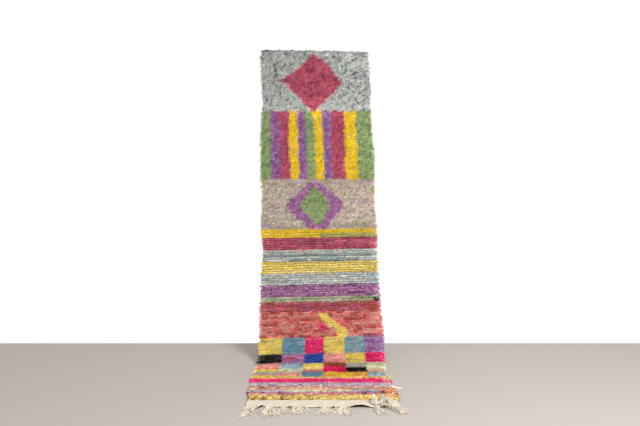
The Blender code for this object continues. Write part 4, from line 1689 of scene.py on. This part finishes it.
def bunchPaths(root, turn, spread, count, reach, chance):
    # the neck of warps, the knot and the ends that fan out of it
    edge, lift, size = frontEdge(root), liftAt(root), bunchLook["knotSize"]
    start = Vector((edge.x, edge.y, 0))
    away = bunchLook["neckLength"] + size / 2
    centre = start + heading(turn * bunchLook["neckTurn"]) * away
    middle = centre + Vector((0, 0, size * bunchLook["knotHeight"]))
    knot = knotPath(middle, turn * bunchLook["knotTurn"], size, lift * bunchLook["knotLift"])
    curl = either(chance, bunchLook["curl"])
    ahead = heading(turn) * size * bunchLook["endAhead"]
    ends = []
    for index in range(count):
        share = (index + chance.random()) / count - 0.5
        begin = centre + ahead + heading(turn + 90) * share * size * bunchLook["endAside"]
        length = reach * chance.uniform(*bunchLook["lengths"])
        bend = curl + either(chance, bunchLook["endCurl"])
        raised = size * bunchLook["endHeight"] + lift * bunchLook["endLift"]
        raised += fringe["heap"] * chance.random()
        fall = chance.uniform(*bunchLook["falls"])
        ends.append(strandPath(begin, turn + spread * share, length, bend, raised, fall, chance))
    return [knot, *neckPaths(edge, centre, lift)], ends


def loosePaths(first, last, count, turn, reach, chance):
    # untied ends, each in its own part of a stretch of the edge
    ends = []
    for index in range(count):
        root = first + (last - first) * (index + chance.uniform(*looseLook["places"])) / count
        edge = frontEdge(root)
        start = Vector((edge.x, edge.y + fringe["behind"], 0))
        length = reach * chance.uniform(*looseLook["lengths"])
        lift = liftAt(root) + looseLook["height"]
        lift += looseLook["heap"] * fringe["heap"] * chance.random()
        aim = turn + either(chance, looseLook["turn"])
        curl, fall = either(chance, looseLook["curl"]), chance.uniform(*looseLook["falls"])
        ends.append(strandPath(start, aim, length, curl, lift, fall, chance))
    return ends


def thrownPaths(root, halfWidth, count, tall, back, chance):
    # ends that rise from the skirt to one peak and fall over towards the pile
    look = thrownLook
    ends = []
    for index in range(count):
        aside = halfWidth * (2 * (index + 0.5) / count - 1)
        edge = skirtPoint(1, root + aside)
        floor = liftAt(root + aside) + skirt["thickness"] + skirt["puff"] + fringe["yarnRadius"]
        height = tall * chance.uniform(*look["heights"])
        length = back * chance.uniform(*look["lengths"])
        begin = edge.y + chance.uniform(*look["begins"])
        path = []
        for step in range(look["steps"] + 1):
            share = step / look["steps"]
            sway = look["sway"] * math.sin(look["swayTurn"] * share + index)
            x = root + aside * (1 - look["gather"] * share) + sway
            rise = floor + height * math.sin(math.pi * look["arch"] * share)
            y = begin + (edge.y + look["reach"] + length - begin) * share
            path.append((Vector((x, y, rise)), thinRadius(share)))
        ends.append(path)
    return ends


def tanglePaths(chance):
    ends = []
    for index in range(tangle["ends"]):
        x = chance.uniform(tangle["from"], tangle["to"])
        start = skirtPoint(1, x) + Vector((0, chance.uniform(*tangle["back"]), 0))
        turn = either(chance, tangle["turn"]) + 180 * (index % 2)
        curl = either(chance, tangle["curl"])
        length = tangle["reach"] * chance.uniform(*tangle["lengths"])
        tall = tangle["tall"] * chance.uniform(*tangle["heights"])
        point, path = start.copy(), []
        for step in range(tangle["steps"] + 1):
            share = step / tangle["steps"]
            lift = liftAt(point.x) * blend(start.y - point.y, tangle["liftFade"], 0)
            floor = lift + skirt["thickness"] + skirt["puff"]
            rise = floor + tangle["gap"] + tall * math.sin(math.pi * share)
            path.append((Vector((point.x, point.y, rise)), tangle["radius"]))
            point += heading(turn + curl * share) * length / tangle["steps"]
        ends.append(path)
    return ends


def makeFringe(chance):
    strands, knotTurns = [], []
    for bunch in bunches:
        tied, ends = bunchPaths(*bunch, chance)
        knotTurns += tied
        strands += ends
    for stretch in looseEnds:
        strands += loosePaths(*stretch, chance)
    for bunch in thrownBack:
        strands += thrownPaths(*bunch, chance)
    strands += tanglePaths(chance)
    return [
        yarnPiece("fringe_strands", strands, fringeMaterial, fringe["strandPly"]),
        yarnPiece("fringe_knots", knotTurns, fringeMaterial, fringe["knotPly"]),
    ]


cord = {
    "steps": 260,
    "leastHeight": 0.0031,
    "turn": 1.15,            # radians a step
    "coil": 0.0014,          # radius of the twining
    "ahead": 0.0028,         # of the skirt's edge
    "radius": 0.0016,
    "ply": {"Step": 0.003, "Twist": 0.0, "Flatness": 0.9},
}


def edgeCord():
    # the two twined strands that close the skirt, from side to side along its front edge
    middle, half = readTable(outline, stripStart)
    paths = []
    for strand in range(2):
        path = []
        for index in range(cord["steps"] + 1):
            x = middle + half * (2 * index / cord["steps"] - 1)
            point = skirtPoint(1, x)
            height = point.z + skirtRise(point, 1) + skirt["thickness"] / 2
            point.z = max(height, cord["leastHeight"])
            angle = index * cord["turn"] + strand * math.pi
            coil = Vector((0, math.cos(angle), math.sin(angle))) * cord["coil"]
            path.append((point + Vector((0, -cord["ahead"], 0)) + coil, cord["radius"]))
        paths.append(path)
    return yarnPiece("fringe_edge_cord", paths, fringeMaterial, cord["ply"])


fringePieces = [*makeFringe(random.Random(31)), edgeCord()]


# Every piece rides on the rug's one body and stands for the solid it covers.
for piece in [*pilePieces, groundPiece, *selvedgePieces, strayPiece]:
    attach(piece, "root")
    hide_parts("pile_field")
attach(skirtPiece, "root")
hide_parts("end_skirt")
for piece in fringePieces:
    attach(piece, "root")
    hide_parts("fringe")
total = sum(triangles(piece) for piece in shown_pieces() if piece.type == "MESH")
print("added", total, "triangles in all")


# Stage: a plain pale floor up to the wall's line, soft studio light and the camera.
studio = {
    "floorColour": (0.285, 0.258, 0.235),
    "floorRoughness": 0.85,
    "floorWide": 9,          # half its width
    "floorDeep": 5,          # half its depth, up to the wall's line
    "floorLevel": -0.0006,
    "skyStrength": 1.15,
    "keyPlace": (1.9, -3.0, 3.4),
    "keySize": 1.6,
    "keyPower": 300.0,
    "aim": (0.0, 0.4, 0.9),
    "cameraAway": 4.64,      # from the wall's plane
    "cameraHeight": 1.0,
    "imageWidth": 640,
    "focalPixels": 622,
    "shiftPixels": -4,
}


def makeFloor():
    mesh = bpy.data.meshes.new("floor")
    shape = bmesh.new()
    bmesh.ops.create_grid(shape, x_segments=1, y_segments=1, size=1)
    wide, deep = studio["floorWide"], studio["floorDeep"]
    for vert in shape.verts:
        along = rug["wallY"] - deep + vert.co.y * deep
        vert.co = (vert.co.x * wide, along, studio["floorLevel"])
    shape.to_mesh(mesh)
    shape.free()
    floor = newPiece("floor", mesh)
    material = newMaterial("paleFloor", studio["floorRoughness"])
    inputs = material.node_tree.nodes["Principled BSDF"].inputs
    inputs["Base Color"].default_value = (*studio["floorColour"], 1)
    mesh.materials.append(material)
    floor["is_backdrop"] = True


def makeLight():
    light = bpy.data.lights.new("key", "AREA")
    light.shape = "DISK"
    light.size = studio["keySize"]
    light.energy = studio["keyPower"]
    lamp = newPiece("key", light)
    lamp.location = studio["keyPlace"]
    lamp.rotation_euler = (Vector(studio["aim"]) - lamp.location).to_track_quat("-Z", "Y").to_euler()
    world = bpy.data.worlds.new("studio")
    world.use_nodes = True
    sky = world.node_tree.nodes["Background"].inputs
    sky["Color"].default_value = (1, 1, 1, 1)
    sky["Strength"].default_value = studio["skyStrength"]
    bpy.context.scene.world = world
    bpy.context.scene.view_settings.view_transform = "Standard"


def makeCamera():
    lens = bpy.data.cameras.new("camera")
    lens.sensor_width = 36
    lens.lens = studio["focalPixels"] / studio["imageWidth"] * lens.sensor_width
    lens.shift_y = studio["shiftPixels"] / studio["imageWidth"]
    camera = newPiece("camera", lens)
    camera.location = (0, rug["wallY"] - studio["cameraAway"], studio["cameraHeight"])
    camera.rotation_euler = (math.radians(90), 0, 0)
    bpy.context.scene.camera = camera


makeFloor()
makeLight()
makeCamera()
print("stage made")
